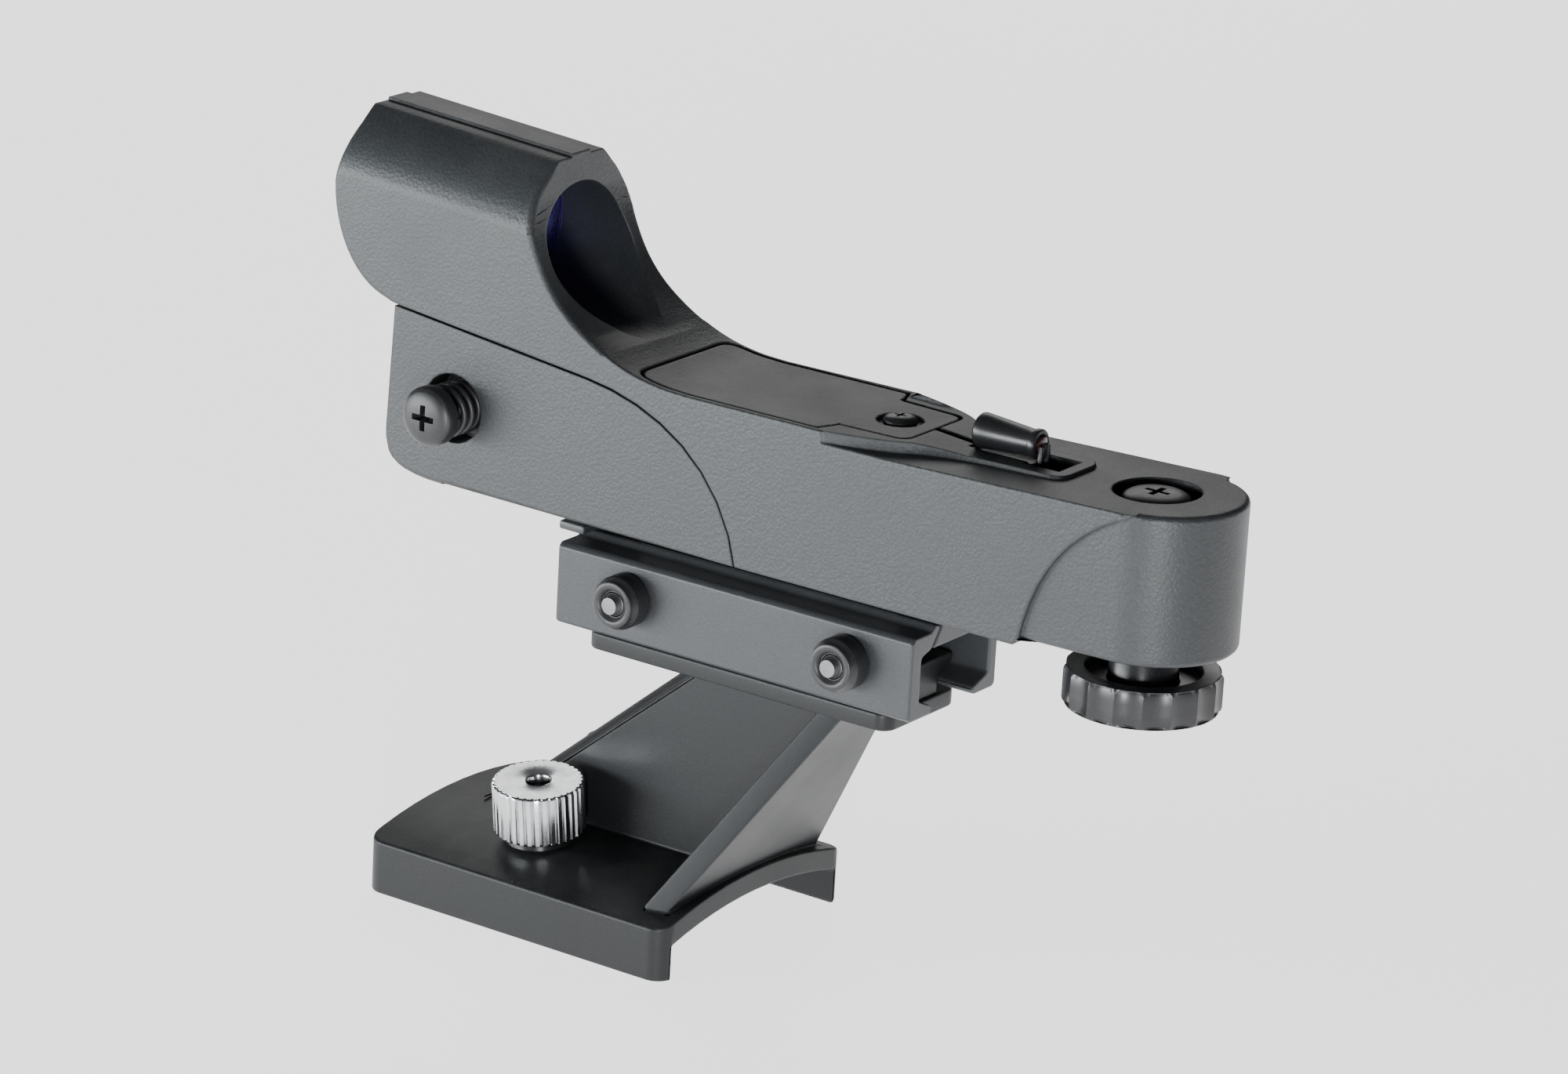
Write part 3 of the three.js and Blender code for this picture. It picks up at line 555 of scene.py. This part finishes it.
def metal(name, tone, rough, brushed=0.0, black=False, edge=0.12 * MM):
    """A plated or blackened metal finish with fine scratches."""
    material, w, where, shader = new_finish(name)
    worn = place_group(w, "edge wear", Vector=where, Reach=edge, Amount=0.5 if black else 0.25,
                       Patch_size=0.002)
    stretch = w.add("Mapping")
    w.set(stretch.inputs["Vector"], where)
    stretch.inputs["Scale"].default_value = (1, 1, 12)
    lines = w.noise(stretch.outputs["Vector"], 2600, 2)
    smudges = w.noise(where, 420, 4, 0.6)
    pale = (0.35, 0.35, 0.36) if black else tuple(min(1, 1.15 * part) for part in tone)
    base = w.mix(w.ramp(smudges, 0.35, 0.7), colour(tone), colour([0.82 * p for p in tone]))
    base = w.mix(worn.outputs["Mask"], base, colour(pale))
    w.set(shader.inputs["Base Color"], base)
    if black:
        w.set(shader.inputs["Metallic"], w.math("MULTIPLY", worn.outputs["Mask"], 0.8))
    else:
        shader.inputs["Metallic"].default_value = 1
    w.set(shader.inputs["Roughness"],
          w.math("ADD", w.ramp(smudges, 0.3, 0.7, rough - 0.05, rough + 0.07),
                 w.math("MULTIPLY", lines, 0.08)))
    bump = w.add("Bump")
    w.set(bump.inputs["Strength"], 1.0)
    w.set(bump.inputs["Distance"], 1.0)
    w.set(bump.inputs["Height"],
          w.math("MULTIPLY", lines, (0.004 + 0.01 * brushed) * MM))
    w.set(shader.inputs["Normal"], bump.outputs["Normal"])
    return material


def lens_glass(tint):
    material, w, where, shader = new_finish("coated lens glass")
    shader.inputs["Transmission Weight"].default_value = 0.82
    shader.inputs["IOR"].default_value = 1.52
    shader.inputs["Specular Tint"].default_value = (0.55, 0.5, 1, 1)
    shader.inputs["Coat Weight"].default_value = 0.6
    shader.inputs["Coat Tint"].default_value = (0.55, 0.5, 1, 1)
    film = w.noise(where, 220, 2)
    violet = tuple(part * share for part, share in zip(tint, (1.15, 0.85, 1.05)))
    w.set(shader.inputs["Base Color"], w.mix(w.ramp(film, 0.35, 0.65), colour(tint), colour(violet)))
    w.set(shader.inputs["Roughness"], w.ramp(w.noise(where, 900, 3), 0.45, 0.8, 0.02, 0.07))
    return material


def smoked_red():
    material, w, where, shader = new_finish("smoked red lamp body")
    shader.inputs["IOR"].default_value = 1.5
    haze = w.noise(where, 900, 3)
    w.set(shader.inputs["Base Color"],
          w.mix(w.ramp(haze, 0.3, 0.7), (0.022, 0.009, 0.009, 1), (0.04, 0.012, 0.011, 1)))
    w.set(shader.inputs["Roughness"], w.ramp(haze, 0.3, 0.7, 0.12, 0.24))
    return material


def board_green():
    material, w, where, shader = new_finish("green circuit board")
    weave = w.add("TexWave", wave_type="BANDS", bands_direction="DIAGONAL")
    w.set(weave.inputs["Vector"], where)
    w.set(weave.inputs["Scale"], 700)
    tone = w.noise(where, 300, 3)
    base = w.mix(w.ramp(tone, 0.3, 0.7), (0.012, 0.10, 0.04, 1), (0.02, 0.15, 0.06, 1))
    w.set(shader.inputs["Base Color"], base)
    w.set(shader.inputs["Roughness"], w.ramp(tone, 0.3, 0.7, 0.28, 0.4))
    bump = w.add("Bump")
    w.set(bump.inputs["Distance"], 1.0)
    w.set(bump.inputs["Height"], w.math("MULTIPLY", weave.outputs["Fac"], 0.01 * MM))
    w.set(shader.inputs["Normal"], bump.outputs["Normal"])
    return material


def finish(name):
    return bpy.data.materials[name]


class FINDER_OT_finishes(bpy.types.Operator):
    """Mixes the finishes and gives them to the frame nodes that stay in view."""

    bl_idname = "finder.finishes"
    bl_label = "Finishes"

    def execute(self, context):
        look = context.scene.finder_finishes
        grain_group()
        wear_group()
        dust_group()
        moulding("body moulding", look.body_colour, 0.44, look.grain_size, look.grain_depth,
                 0.45 * MM, wear=0.3, gloss=0.5)
        moulding("clamp moulding", look.clamp_colour, 0.4, 0.24 * MM, 0.014 * MM, 0.3 * MM,
                 wear=0.35, gloss=0.5)
        moulding("bracket paint", look.bracket_colour, 0.42, 0.2 * MM, 0.012 * MM, 0.3 * MM,
                 wear=0.3, gloss=0.34)
        moulding("knob moulding", look.knob_colour, 0.33, 0.3 * MM, 0.006 * MM, 0.2 * MM,
                 wear=0.25, dust=0.07, gloss=0.55)
        moulding("component moulding", (0.02, 0.02, 0.022), 0.4, 0.3 * MM, 0.006 * MM, 0.1 * MM,
                 dust=0)
        metal("blackened steel", look.steel_colour, 0.36, 0.3, black=True)
        metal("plated steel", (0.2, 0.205, 0.21), 0.42, 0.6)
        metal("bright nickel", (0.66, 0.67, 0.68), 0.13, 0.2)
        metal("cell steel", (0.6, 0.61, 0.62), 0.25, 0.8)
        metal("spring brass", (0.72, 0.5, 0.2), 0.28, 0.5)
        lens_glass(look.lens_tint)
        smoked_red()
        board_green()
        by_slot = {
            "shell": "body moulding", "clamp_grey": "clamp moulding",
            "bracket_grey": "bracket paint", "knob_black": "knob moulding",
            "black_screw": "blackened steel", "spring_black": "blackened steel",
            "screw_steel": "plated steel", "nut_chrome": "bright nickel",
            "lens_glass": "coated lens glass", "board": "green circuit board",
            "component": "component moulding", "contact_spring": "spring brass",
            "cell_steel": "cell steel", "led_red": "smoked red lamp body",
        }
        for part in frame["record"]["subparts"]:
            node = frame["nodes"][part["node"]]
            for place in node.material_slots:
                place.material = finish(by_slot[part["material_slot"]])
        return {"FINISHED"}


# ------------------------------------------------------------------ mouldings
class FINDER_OT_mouldings(bpy.types.Operator):
    """Makes the body's two halves, the battery cover, the clamp and the bracket with rounded edges."""

    bl_idname = "finder.mouldings"
    bl_label = "Mouldings"

    def execute(self, context):
        sizes = context.scene.finder_sizes
        pieces = (
            ("upper_housing", "housing", "body", "shell", "body moulding", sizes.moulded_edge, 3),
            ("lower_shell", "housing_underside", "body", "shell", "body moulding",
             sizes.moulded_edge, 3),
            ("battery_cover", "cell_cover", "cover", "shell", "body moulding",
             sizes.small_edge, 2),
            ("base_arm", "clamp_arm", "arm", "clamp_grey", "clamp moulding", sizes.small_edge, 2),
            ("moving_jaw", "clamp_jaw", "jaw", "clamp_grey", "clamp moulding",
             sizes.small_edge, 2),
            ("mounting_bracket", "saddle_bracket", "bracket", "bracket_grey", "bracket paint",
             sizes.small_edge, 2),
        )
        for node, name, body, slot, look, width, steps in pieces:
            piece = merged_copy(node, name)
            share = {"body": self.share_on_body, "bracket": self.share_on_bracket}
            round_edges(piece, width, steps, share.get(body, self.whole))
            fit(piece, finish(look), body, slot, node)
        return {"FINISHED"}

    @staticmethod
    def whole(one, other):
        return 1

    @staticmethod
    def share_on_bracket(one, other):
        """The edges of the two stud bores stay sharp under their nuts."""
        for place in (one, other):
            x, y, z = (place - CLAMP_REAR) / MM
            if z < SADDLE_TOP_Z and math.hypot(abs(x) - STUD_SIDE, y - STUD_Y) < 5:
                return 0
        return 1

    @staticmethod
    def share_on_body(one, other):
        """The body's outside edges are rounded in full, and less beside the cell's cover."""
        shares = []
        for place in (one, other):
            x, y, z = (place - CLAMP_REAR) / MM
            bore_z = BORE[1] + (y - BORE[0]) * math.tan(BORE[2])
            on_side = abs(x) > BODY_HALF - 0.05
            on_tube = (y > 56 and z > BORE[1] and abs(x) > 4.65
                       and math.hypot(x, z - bore_z) > 9.75)
            round_tail = math.hypot(x, min(y - TAIL_CENTRE_Y, 0))
            on_tail = y < -15 and abs(round_tail - TAIL_HALF) < 0.06 and not 16 < z < 33.2
            by_cover = on_side and 1 < y < 48 and z > 32
            by_screw = math.hypot(y - CROSS_SCREW[0], z - CROSS_SCREW[1]) < 6
            on_seam = 25.9 < y < 26.9 or (y > 26 and 19 < z < 33.9 + max(y - 50.4, 0) * 0.106
                                          and y < 81.9)
            if not (on_side or on_tube or on_tail):
                return 0
            if by_screw or (on_seam and z < 37.5):
                return 0
            shares.append(0.35 if by_cover or (on_side and y < -14) else 1)
        return min(shares)


# ------------------------------------------------------------------ knobs
class FINDER_OT_knobs(bpy.types.Operator):
    """Makes one scalloped aiming knob and sets it under the tail and on the right side."""

    bl_idname = "finder.knobs"
    bl_label = "Aiming knobs"

    def execute(self, context):
        sizes = context.scene.finder_sizes
        radius, high, hub, bore = 10, 4.8, 8.1, 2.15
        ring = [(bore, 0), (2.9, 0), (3.2, 0.35), (8.6, 0.35), (9.0, 0), (9.45, 0), (9.85, 0.16),
                (radius, 0.55), (radius, 1.8), (radius, 3.0), (radius, 4.25), (9.85, 4.64),
                (9.45, high), (7.4, high), (7.15, 4.6), (7.1, 3.2), (4.5, 3.2), (4.35, 3.5),
                (4.2, hub - 0.2), (4.0, hub), (bore, hub), (bore, 0)]
        steps = 12
        knob = turned("altitude_knob_scalloped", ring, sizes.scallops * steps)
        rim = 9.6 * MM
        reach = 3.4 * MM
        for share in range(steps // 2 + 1):
            across = share / steps * 2 * math.pi * radius * MM / sizes.scallops
            dip = sizes.scallop_depth - (reach - math.sqrt(max(reach ** 2 - across ** 2, 0)))
            if dip <= 0:
                continue

            def on_this_line(co):
                if math.hypot(co.x, co.y) < rim:
                    return False
                line = round(math.atan2(co.y, co.x) / (2 * math.pi) * sizes.scallops * steps)
                place = line % steps
                return min(place, steps - place) == share

            pick_points(knob, on_this_line)
            factor = 1 - dip / (radius * MM)
            bpy.ops.transform.resize(value=(factor, factor, 1), center_override=(0, 0, 0))
            done()
        smooth(knob, 50)
        second = copy_of(knob, "azimuth_knob_scalloped")
        fit(stand(knob, Vector((0, at(0, TAIL_SCREW_Y, 0).y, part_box("altitude_knob")[0].z)), UP),
            finish("knob moulding"), "tail_screw", "knob_black", "altitude_knob")
        outer = Vector((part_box("azimuth_knob")[1].x, at(0, CROSS_SCREW[0], 0).y,
                        at(0, 0, CROSS_SCREW[1]).z))
        fit(stand(second, outer, LEFT), finish("knob moulding"), "cross_screw", "knob_black",
            "azimuth_knob")
        return {"FINISHED"}


# ------------------------------------------------------------------ screws and spring
def screw_threads(profile, low, high, radius, pitch=0.7, depth=0.28):
    """Adds plain thread crests to a turned profile between two heights."""
    count = int((high - low) / pitch)
    for i in range(count):
        start = low + i * pitch
        profile += [(radius - depth, start), (radius, start + 0.35 * pitch),
                    (radius, start + 0.65 * pitch)]
    return profile + [(radius - depth, low + count * pitch)]


class FINDER_OT_screws(bpy.types.Operator):
    """Makes the two aiming screws, the cover's screw and the case screws."""

    bl_idname = "finder.screws"
    bl_label = "Screws"

    def execute(self, context):
        black = finish("blackened steel")
        low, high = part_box("altitude_screw")
        length = (high.z - low.z) / MM
        tail = turned("altitude_screw_pan_head", screw_threads([(1.6, 0)], 0.3, 24, 2)
                      + [(1.95, 24.4), (1.95, length - 2.4), (4.2, length - 2.4),
                         (4.3, length - 2.2), (4.3, length - 0.95), (4.05, length - 0.6),
                         (3.5, length - 0.28), (2.6, length - 0.1), (1.4, length - 0.02)], 48)
        smooth(tail)
        cross_recess(tail, length, 4.6, 1.5)
        fit(stand(tail, Vector((0, at(0, TAIL_SCREW_Y, 0).y, low.z)), UP), black, "tail_screw",
            "black_screw", "altitude_screw")

        low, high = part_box("azimuth_screw")
        length = (high.x - low.x) / MM
        cross = turned("azimuth_screw_pan_head", screw_threads([(1.6, 0)], 0.3, 31, 2)
                       + [(2, length - 2.6), (3.8, length - 2.6), (3.9, length - 2.45),
                          (3.9, length - 1.2), (3.7, length - 0.75), (3.2, length - 0.4),
                          (2.4, length - 0.15), (1.3, length)], 48)
        smooth(cross)
        cross_recess(cross, length, 4.8, 1.7)
        start = Vector((high.x, at(0, CROSS_SCREW[0], 0).y, at(0, 0, CROSS_SCREW[1]).z))
        fit(stand(cross, start, LEFT), black, "cross_screw", "black_screw", "azimuth_screw")

        low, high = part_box("battery_cover_screw")
        length = (high.z - low.z) / MM
        lid = turned("battery_cover_screw_head", screw_threads([(0.8, 0)], 0.2, 5.4, 1.05, 0.5, 0.2)
                     + [(1.05, 5.8), (2.12, 5.8), (2.2, 5.95), (2.15, 6.3), (1.9, 6.65),
                        (1.4, 6.88), (0.8, length)], 40)
        smooth(lid)
        cross_recess(lid, length, 2.4, 0.9)
        fit(stand(lid, Vector((0, at(0, COVER_SCREW_Y, 0).y, low.z)), UP), black, "cover_screw",
            "black_screw", "battery_cover_screw")

        low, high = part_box("assembly_screw_left")
        length = (high.z - low.z) / MM
        case = turned("assembly_screw_left_head", screw_threads([(0.6, 0)], 0.4, 12, 0.95, 0.6, 0.2)
                      + [(0.95, length - 2.6), (1.95, length - 2.6), (2, length - 2.4),
                         (2, length - 0.5), (1.7, length - 0.1), (1.2, length)], 32)
        smooth(case)
        cross_recess(case, length, 2.2, 0.9)
        other = copy_of(case, "assembly_screw_right_head")
        for piece, side, place in ((case, "left", CASE_SCREWS[0]), (other, "right", CASE_SCREWS[1])):
            end = at(*place) + Vector((0, 0, length * MM))
            fit(stand(piece, end, -UP), black, "body", "black_screw", "assembly_screw_" + side)
        return {"FINISHED"}


class FINDER_OT_spring(bpy.types.Operator):
    """Winds the spring under the cross screw's head."""

    bl_idname = "finder.spring"
    bl_label = "Cross screw spring"

    def execute(self, context):
        turns = context.scene.finder_sizes.spring_turns
        wire = 0.45 * MM
        low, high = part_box("azimuth_spring")
        rise = high.x - low.x - 2 * wire
        coil = (high.z - low.z) / 2 - wire
        bpy.ops.mesh.primitive_circle_add(vertices=14, radius=wire, fill_type="NGON",
                                          location=(coil, 0, wire),
                                          rotation=(math.pi / 2, 0, 0))
        spring = bpy.context.object
        spring.name = "azimuth_spring_coil"
        only(spring)
        bpy.ops.object.transform_apply(location=True, rotation=True, scale=True)
        edit(spring, "FACE")
        bpy.ops.mesh.select_all(action="SELECT")
        bpy.ops.mesh.delete(type="ONLY_FACE")
        done()
        apply(spring, "SCREW", screw_offset=rise / turns, iterations=turns, steps=40,
              render_steps=40, use_smooth_shade=True)
        edit(spring)
        bpy.ops.mesh.select_all(action="SELECT")
        bpy.ops.mesh.fill_holes(sides=0)
        done()
        face_outwards(spring)
        smooth(spring)
        start = Vector((high.x, (low.y + high.y) / 2, (low.z + high.z) / 2))
        fit(stand(spring, start, LEFT), finish("blackened steel"), "swing", "spring_black",
            "azimuth_spring")
        return {"FINISHED"}


# ------------------------------------------------------------------ clamp hardware
class FINDER_OT_clamp_hardware(bpy.types.Operator):
    """Makes the clamp's two screws and the round nuts on them."""

    bl_idname = "finder.clamp_hardware"
    bl_label = "Clamp screws and nuts"

    def execute(self, context):
        low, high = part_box("clamp_screw_rear")
        length = (high.x - low.x) / MM
        profile = screw_threads([(2.0, 0), (2.5, 0.15), (2.8, 0.6), (2.8, 2), (1.5, 2), (1.5, 8)],
                                8.2, length - 0.5, 1.5, 0.5, 0.2) + [(1.1, length)]
        screw = turned("clamp_screw_rear_threaded", profile, 36)
        smooth(screw)
        socket = turned("clamp_screw_socket", [(1.25, -1), (1.25, 1.2), (0.9, 1.5)], 6)
        cut(screw, socket)
        second = copy_of(screw, "clamp_screw_front_threaded")
        nut = turned("clamp_nut_rear_round",
                     [(1.65, 0), (3.4, 0), (3.5, 0.12), (3.5, 2.2), (3.42, 2.45), (3.15, 2.75),
                      (2.95, 3.4), (2.8, 3.5), (2.3, 3.5), (2.0, 3.3), (1.75, 2.9), (1.65, 2.9),
                      (1.65, 0)], 48)
        smooth(nut)
        twin = copy_of(nut, "clamp_nut_front_round")
        for piece, lock, y, end in ((screw, nut, CLAMP_SCREWS_Y[0], "rear"),
                                    (second, twin, CLAMP_SCREWS_Y[1], "front")):
            axis = at(0, y, CLAMP_SCREW_Z)
            fit(stand(piece, Vector((high.x, axis.y, axis.z)), LEFT), finish("plated steel"),
                "arm", "screw_steel", "clamp_screw_" + end)
            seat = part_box("clamp_nut_" + end)[1].x
            fit(stand(lock, Vector((seat, axis.y, axis.z)), LEFT), finish("blackened steel"),
                end + "_clamp_nut", "black_screw", "clamp_nut_" + end)
        return {"FINISHED"}


class FINDER_OT_bracket_hardware(bpy.types.Operator):
    """Makes the two studs and the fluted thumb nuts that hold the bracket down."""

    bl_idname = "finder.bracket_hardware"
    bl_label = "Studs and thumb nuts"

    def execute(self, context):
        sizes = context.scene.finder_sizes
        sides = sizes.flutes * 4
        gap = 0.3
        nut = turned("thumb_nut_left_fluted",
                     [(2.65, gap), (4.6, gap), (4.9, gap + 0.15), (4.95, gap + 0.9),
                      (5.5, gap + 1.05), (6, gap + 1.4), (6, gap + 4), (6, gap + 7.6),
                      (5.9, gap + 7.85), (5.7, gap + 8), (1.85, gap + 8), (1.65, gap + 7.9),
                      (1.55, gap + 7.7), (1.55, gap + 6.4), (2.65, gap + 6.4), (2.65, gap)],
                     sides)
        pick_points(nut, lambda co: math.hypot(co.x, co.y) > 5.7 * MM and round(
            math.atan2(co.y, co.x) / (2 * math.pi) * sides) % 4 == 0)
        bpy.ops.transform.resize(value=(0.945, 0.945, 1), center_override=(0, 0, 0))
        done()
        smooth(nut, 30)
        stud = turned("mounting_stud_left_threaded",
                      screw_threads([(2.1, -6.6)], -6.2, 5.8, 2.5, 0.8, 0.3) + [(2.0, 6.2)], 40)
        smooth(stud)
        twin_nut = copy_of(nut, "thumb_nut_right_fluted")
        twin_stud = copy_of(stud, "mounting_stud_right_threaded")
        for side, direction, lock, post in (("left", -1, nut, stud),
                                            ("right", 1, twin_nut, twin_stud)):
            lean = math.asin(direction * STUD_SIDE / SADDLE_RADIUS)
            axis = Vector((math.sin(lean), 0, math.cos(lean)))
            seat = at(0, STUD_Y, SADDLE_TOP_Z - SADDLE_RADIUS) + axis * SADDLE_RADIUS * MM
            fit(stand(lock, seat, axis), finish("bright nickel"), side + "_thumb_nut",
                "nut_chrome", "thumb_nut_" + side)
            fit(stand(post, seat, axis), finish("plated steel"), "bracket", "screw_steel",
                "mounting_stud_" + side)
        return {"FINISHED"}


# ------------------------------------------------------------------ light and lens
class FINDER_OT_light(bpy.types.Operator):
    """Makes the light and the tapered hood that narrows it to a point."""

    bl_idname = "finder.light"
    bl_label = "Light and hood"

    def execute(self, context):
        hood_low, hood_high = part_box("led_hood")
        length = (hood_high.y - hood_low.y) / MM
        hood = turned("led_hood_tapered",
                      [(1.25, 0), (1.75, 0), (1.87, 0.1), (1.9, 0.3), (1.9, 0.75), (1.8, 0.95),
                       (1.7, 1.25), (2.2, length - 1.3), (2.25, length - 0.5),
                       (2.2, length - 0.2), (2.0, length), (0.6, length), (0.6, length - 1.5),
                       (1.25, length - 1.5), (1.25, 0)], 48)
        smooth(hood)
        forward = Vector((0, 1, 0))
        start = Vector((0, hood_low.y, at(0, 0, HOOD[1]).z))
        fit(stand(hood, start, forward), finish("knob moulding"), "body", "knob_black", "led_hood")
        lamp = turned("led_dome", [(0.95, -0.3), (1.1, -0.2), (1.1, 0.45), (1, 0.6), (1, 3.5),
                                   (0.85, 3.95), (0.55, 4.25), (0.2, 4.4)], 36)
        smooth(lamp)
        for side in (-0.75, 0.75):
            bpy.ops.mesh.primitive_cube_add(size=1, location=(side * MM, -2.95 * MM, -0.5 * MM))
            lead = bpy.context.object
            lead.scale = (0.5 * MM, 5.9 * MM, 0.6 * MM)
            only(lead)
            bpy.ops.object.transform_apply(location=True, rotation=True, scale=True)
            soften(lead, 0.08 * MM)
            lead.select_set(True)
            lamp.select_set(True)
            bpy.context.view_layer.objects.active = lamp
            bpy.ops.object.join()
        legs = [face.index for face in lamp.data.polygons
                if face.center.y < -1.2 * MM or face.center.z < -0.32 * MM]
        fit(stand(lamp, start, forward), finish("smoked red lamp body"), "body", "led_red", "led")
        lamp.data.materials.append(finish("blackened steel"))
        for index in legs:
            lamp.data.polygons[index].material_index = 1
        return {"FINISHED"}


class FINDER_OT_lens(bpy.types.Operator):
    """Makes the coated lens and the ring that holds it in the sight tube."""

    bl_idname = "finder.lens"
    bl_label = "Lens and ring"

    def execute(self, context):
        y, z, tilt = BORE
        axis = Vector((0, math.cos(tilt), math.sin(tilt)))
        glass = turned("lens_coated",
                       [(0.5, 8.5), (3, 8.58), (4.6, 8.7), (6, 8.85), (7.6, 9.1), (9, 9.38),
                        (9.2, 9.55), (9.2, 10.95), (9, 11.08), (7.6, 10.85), (6, 10.65),
                        (4.6, 10.48), (3, 10.35), (0.5, 10.25)], 96)
        smooth(glass)
        ring = turned("lens_retaining_ring_chamfered",
                      [(8.3, 11.3), (9.1, 11.3), (9.2, 11.42), (9.2, 13.35), (9.1, 13.5),
                       (8.75, 13.5), (8.4, 13.15), (8.3, 12.9), (8.3, 11.3)], 96)
        smooth(ring)
        fit(stand(glass, at(0, y, z), axis), finish("coated lens glass"), "body", "lens_glass",
            "lens")
        fit(stand(ring, at(0, y, z), axis), finish("knob moulding"), "body", "knob_black",
            "lens_retaining_ring")
        return {"FINISHED"}


# ------------------------------------------------------------------ stage
class FINDER_OT_stage(bpy.types.Operator):
    """Sets the finder on a plain pale floor under soft light, with the camera behind its left side."""

    bl_idname = "finder.stage"
    bl_label = "Stage"

    def execute(self, context):
        studio = context.scene.finder_studio
        self.lay_floor(studio)
        middle = (Vector(CAD_BOX[0]) + Vector(CAD_BOX[1])) / 2
        lights = (
            ("side light", (-0.5, 0.42, 0.08), (0.6, 0.15), studio.side_light, (0.93, 0.98, 1)),
            ("top light", (0.75, 0.55, 0.55), (0.7, 0.5), studio.top_light, (1, 1, 1)),
            ("tail light", (-0.5, -0.33, 0.06), (0.03, 0.12), studio.tail_light, (0.95, 0.98, 1)),
        )
        for name, place, size, power, tint in lights:
            lamp = bpy.data.lights.new(name, "AREA")
            lamp.shape, lamp.size, lamp.size_y = "RECTANGLE", *size
            lamp.energy, lamp.color = power, tint
            holder = bpy.data.objects.new(name, lamp)
            holder.location = place
            holder.rotation_euler = (middle - Vector(place)).to_track_quat("-Z", "Y").to_euler()
            context.scene.collection.objects.link(holder)
        world = bpy.data.worlds.new("pale room")
        world.use_nodes = True
        backdrop = world.node_tree.nodes["Background"]
        backdrop.inputs["Color"].default_value = (0.9, 0.93, 0.96, 1)
        backdrop.inputs["Strength"].default_value = studio.surroundings
        context.scene.world = world
        self.set_camera(context, studio.lens_length)
        return {"FINISHED"}

    def lay_floor(self, studio):
        bpy.ops.mesh.primitive_plane_add(size=8, location=(0, 0, 0))
        floor = bpy.context.object
        floor.name = "floor"
        material, w, where, shader = new_finish("pale floor")
        tone = w.noise(where, 3, 4)
        darker = tuple(0.97 * part for part in studio.floor_colour)
        w.set(shader.inputs["Base Color"],
              w.mix(tone, colour(studio.floor_colour), colour(darker)))
        w.set(shader.inputs["Roughness"], w.ramp(tone, 0.3, 0.7, 0.6, 0.7))
        shader.inputs["Emission Color"].default_value = (1, 1, 1, 1)
        shader.inputs["Emission Strength"].default_value = studio.floor_glow
        floor.data.materials.append(material)

    def set_camera(self, context, length):
        along_right, along_up, along_back = CAMERA_PLACE
        place = CLAMP_REAR + (along_right * CAMERA_RIGHT + along_up * CAMERA_UP
                              + along_back * CAMERA_BACK) * MM
        turn = Matrix((CAMERA_RIGHT, CAMERA_UP, CAMERA_BACK)).transposed()
        aim = AIM_RIGHT * CAMERA_RIGHT + AIM_UP * CAMERA_UP - CAMERA_BACK
        swing = (-CAMERA_BACK).rotation_difference(aim)
        camera = bpy.data.cameras.new("camera")
        camera.sensor_width = 36
        camera.lens = length
        camera.clip_start, camera.clip_end = 0.01, 20
        holder = bpy.data.objects.new("camera", camera)
        holder.matrix_world = (Matrix.Translation(place) @ swing.to_matrix().to_4x4()
                               @ turn.to_4x4())
        context.scene.collection.objects.link(holder)
        context.scene.camera = holder


STEPS = (
    FINDER_OT_finishes, FINDER_OT_mouldings, FINDER_OT_knobs, FINDER_OT_screws,
    FINDER_OT_spring, FINDER_OT_clamp_hardware, FINDER_OT_bracket_hardware, FINDER_OT_light,
    FINDER_OT_lens, FINDER_OT_stage,
)


class FINDER_PT_panel(bpy.types.Panel):
    """The finder's sizes, finishes and making steps."""

    bl_idname = "FINDER_PT_panel"
    bl_label = "Red Dot Finder"
    bl_space_type = "VIEW_3D"
    bl_region_type = "UI"
    bl_category = "Finder"

    def draw(self, context):
        for group in ("finder_sizes", "finder_finishes", "finder_studio"):
            box = self.layout.box()
            settings = getattr(context.scene, group)
            for name in settings.__annotations__:
                box.prop(settings, name)
        for step in STEPS:
            self.layout.operator(step.bl_idname)


SETTINGS = (FinderSizes, FinderFinishes, FinderStudio)


def register():
    for kind in (*SETTINGS, *STEPS, FINDER_PT_panel):
        bpy.utils.register_class(kind)
    bpy.types.Scene.finder_sizes = bpy.props.PointerProperty(type=FinderSizes)
    bpy.types.Scene.finder_finishes = bpy.props.PointerProperty(type=FinderFinishes)
    bpy.types.Scene.finder_studio = bpy.props.PointerProperty(type=FinderStudio)


def unregister():
    del bpy.types.Scene.finder_studio
    del bpy.types.Scene.finder_finishes
    del bpy.types.Scene.finder_sizes
    for kind in (FINDER_PT_panel, *reversed(STEPS), *reversed(SETTINGS)):
        bpy.utils.unregister_class(kind)


def main():
    register()
    for step in STEPS:
        family, word = step.bl_idname.split(".")
        if getattr(getattr(bpy.ops, family), word)() != {"FINISHED"}:
            raise RuntimeError(f"{step.bl_label} could not be made")


if __name__ == "__main__":
    main()
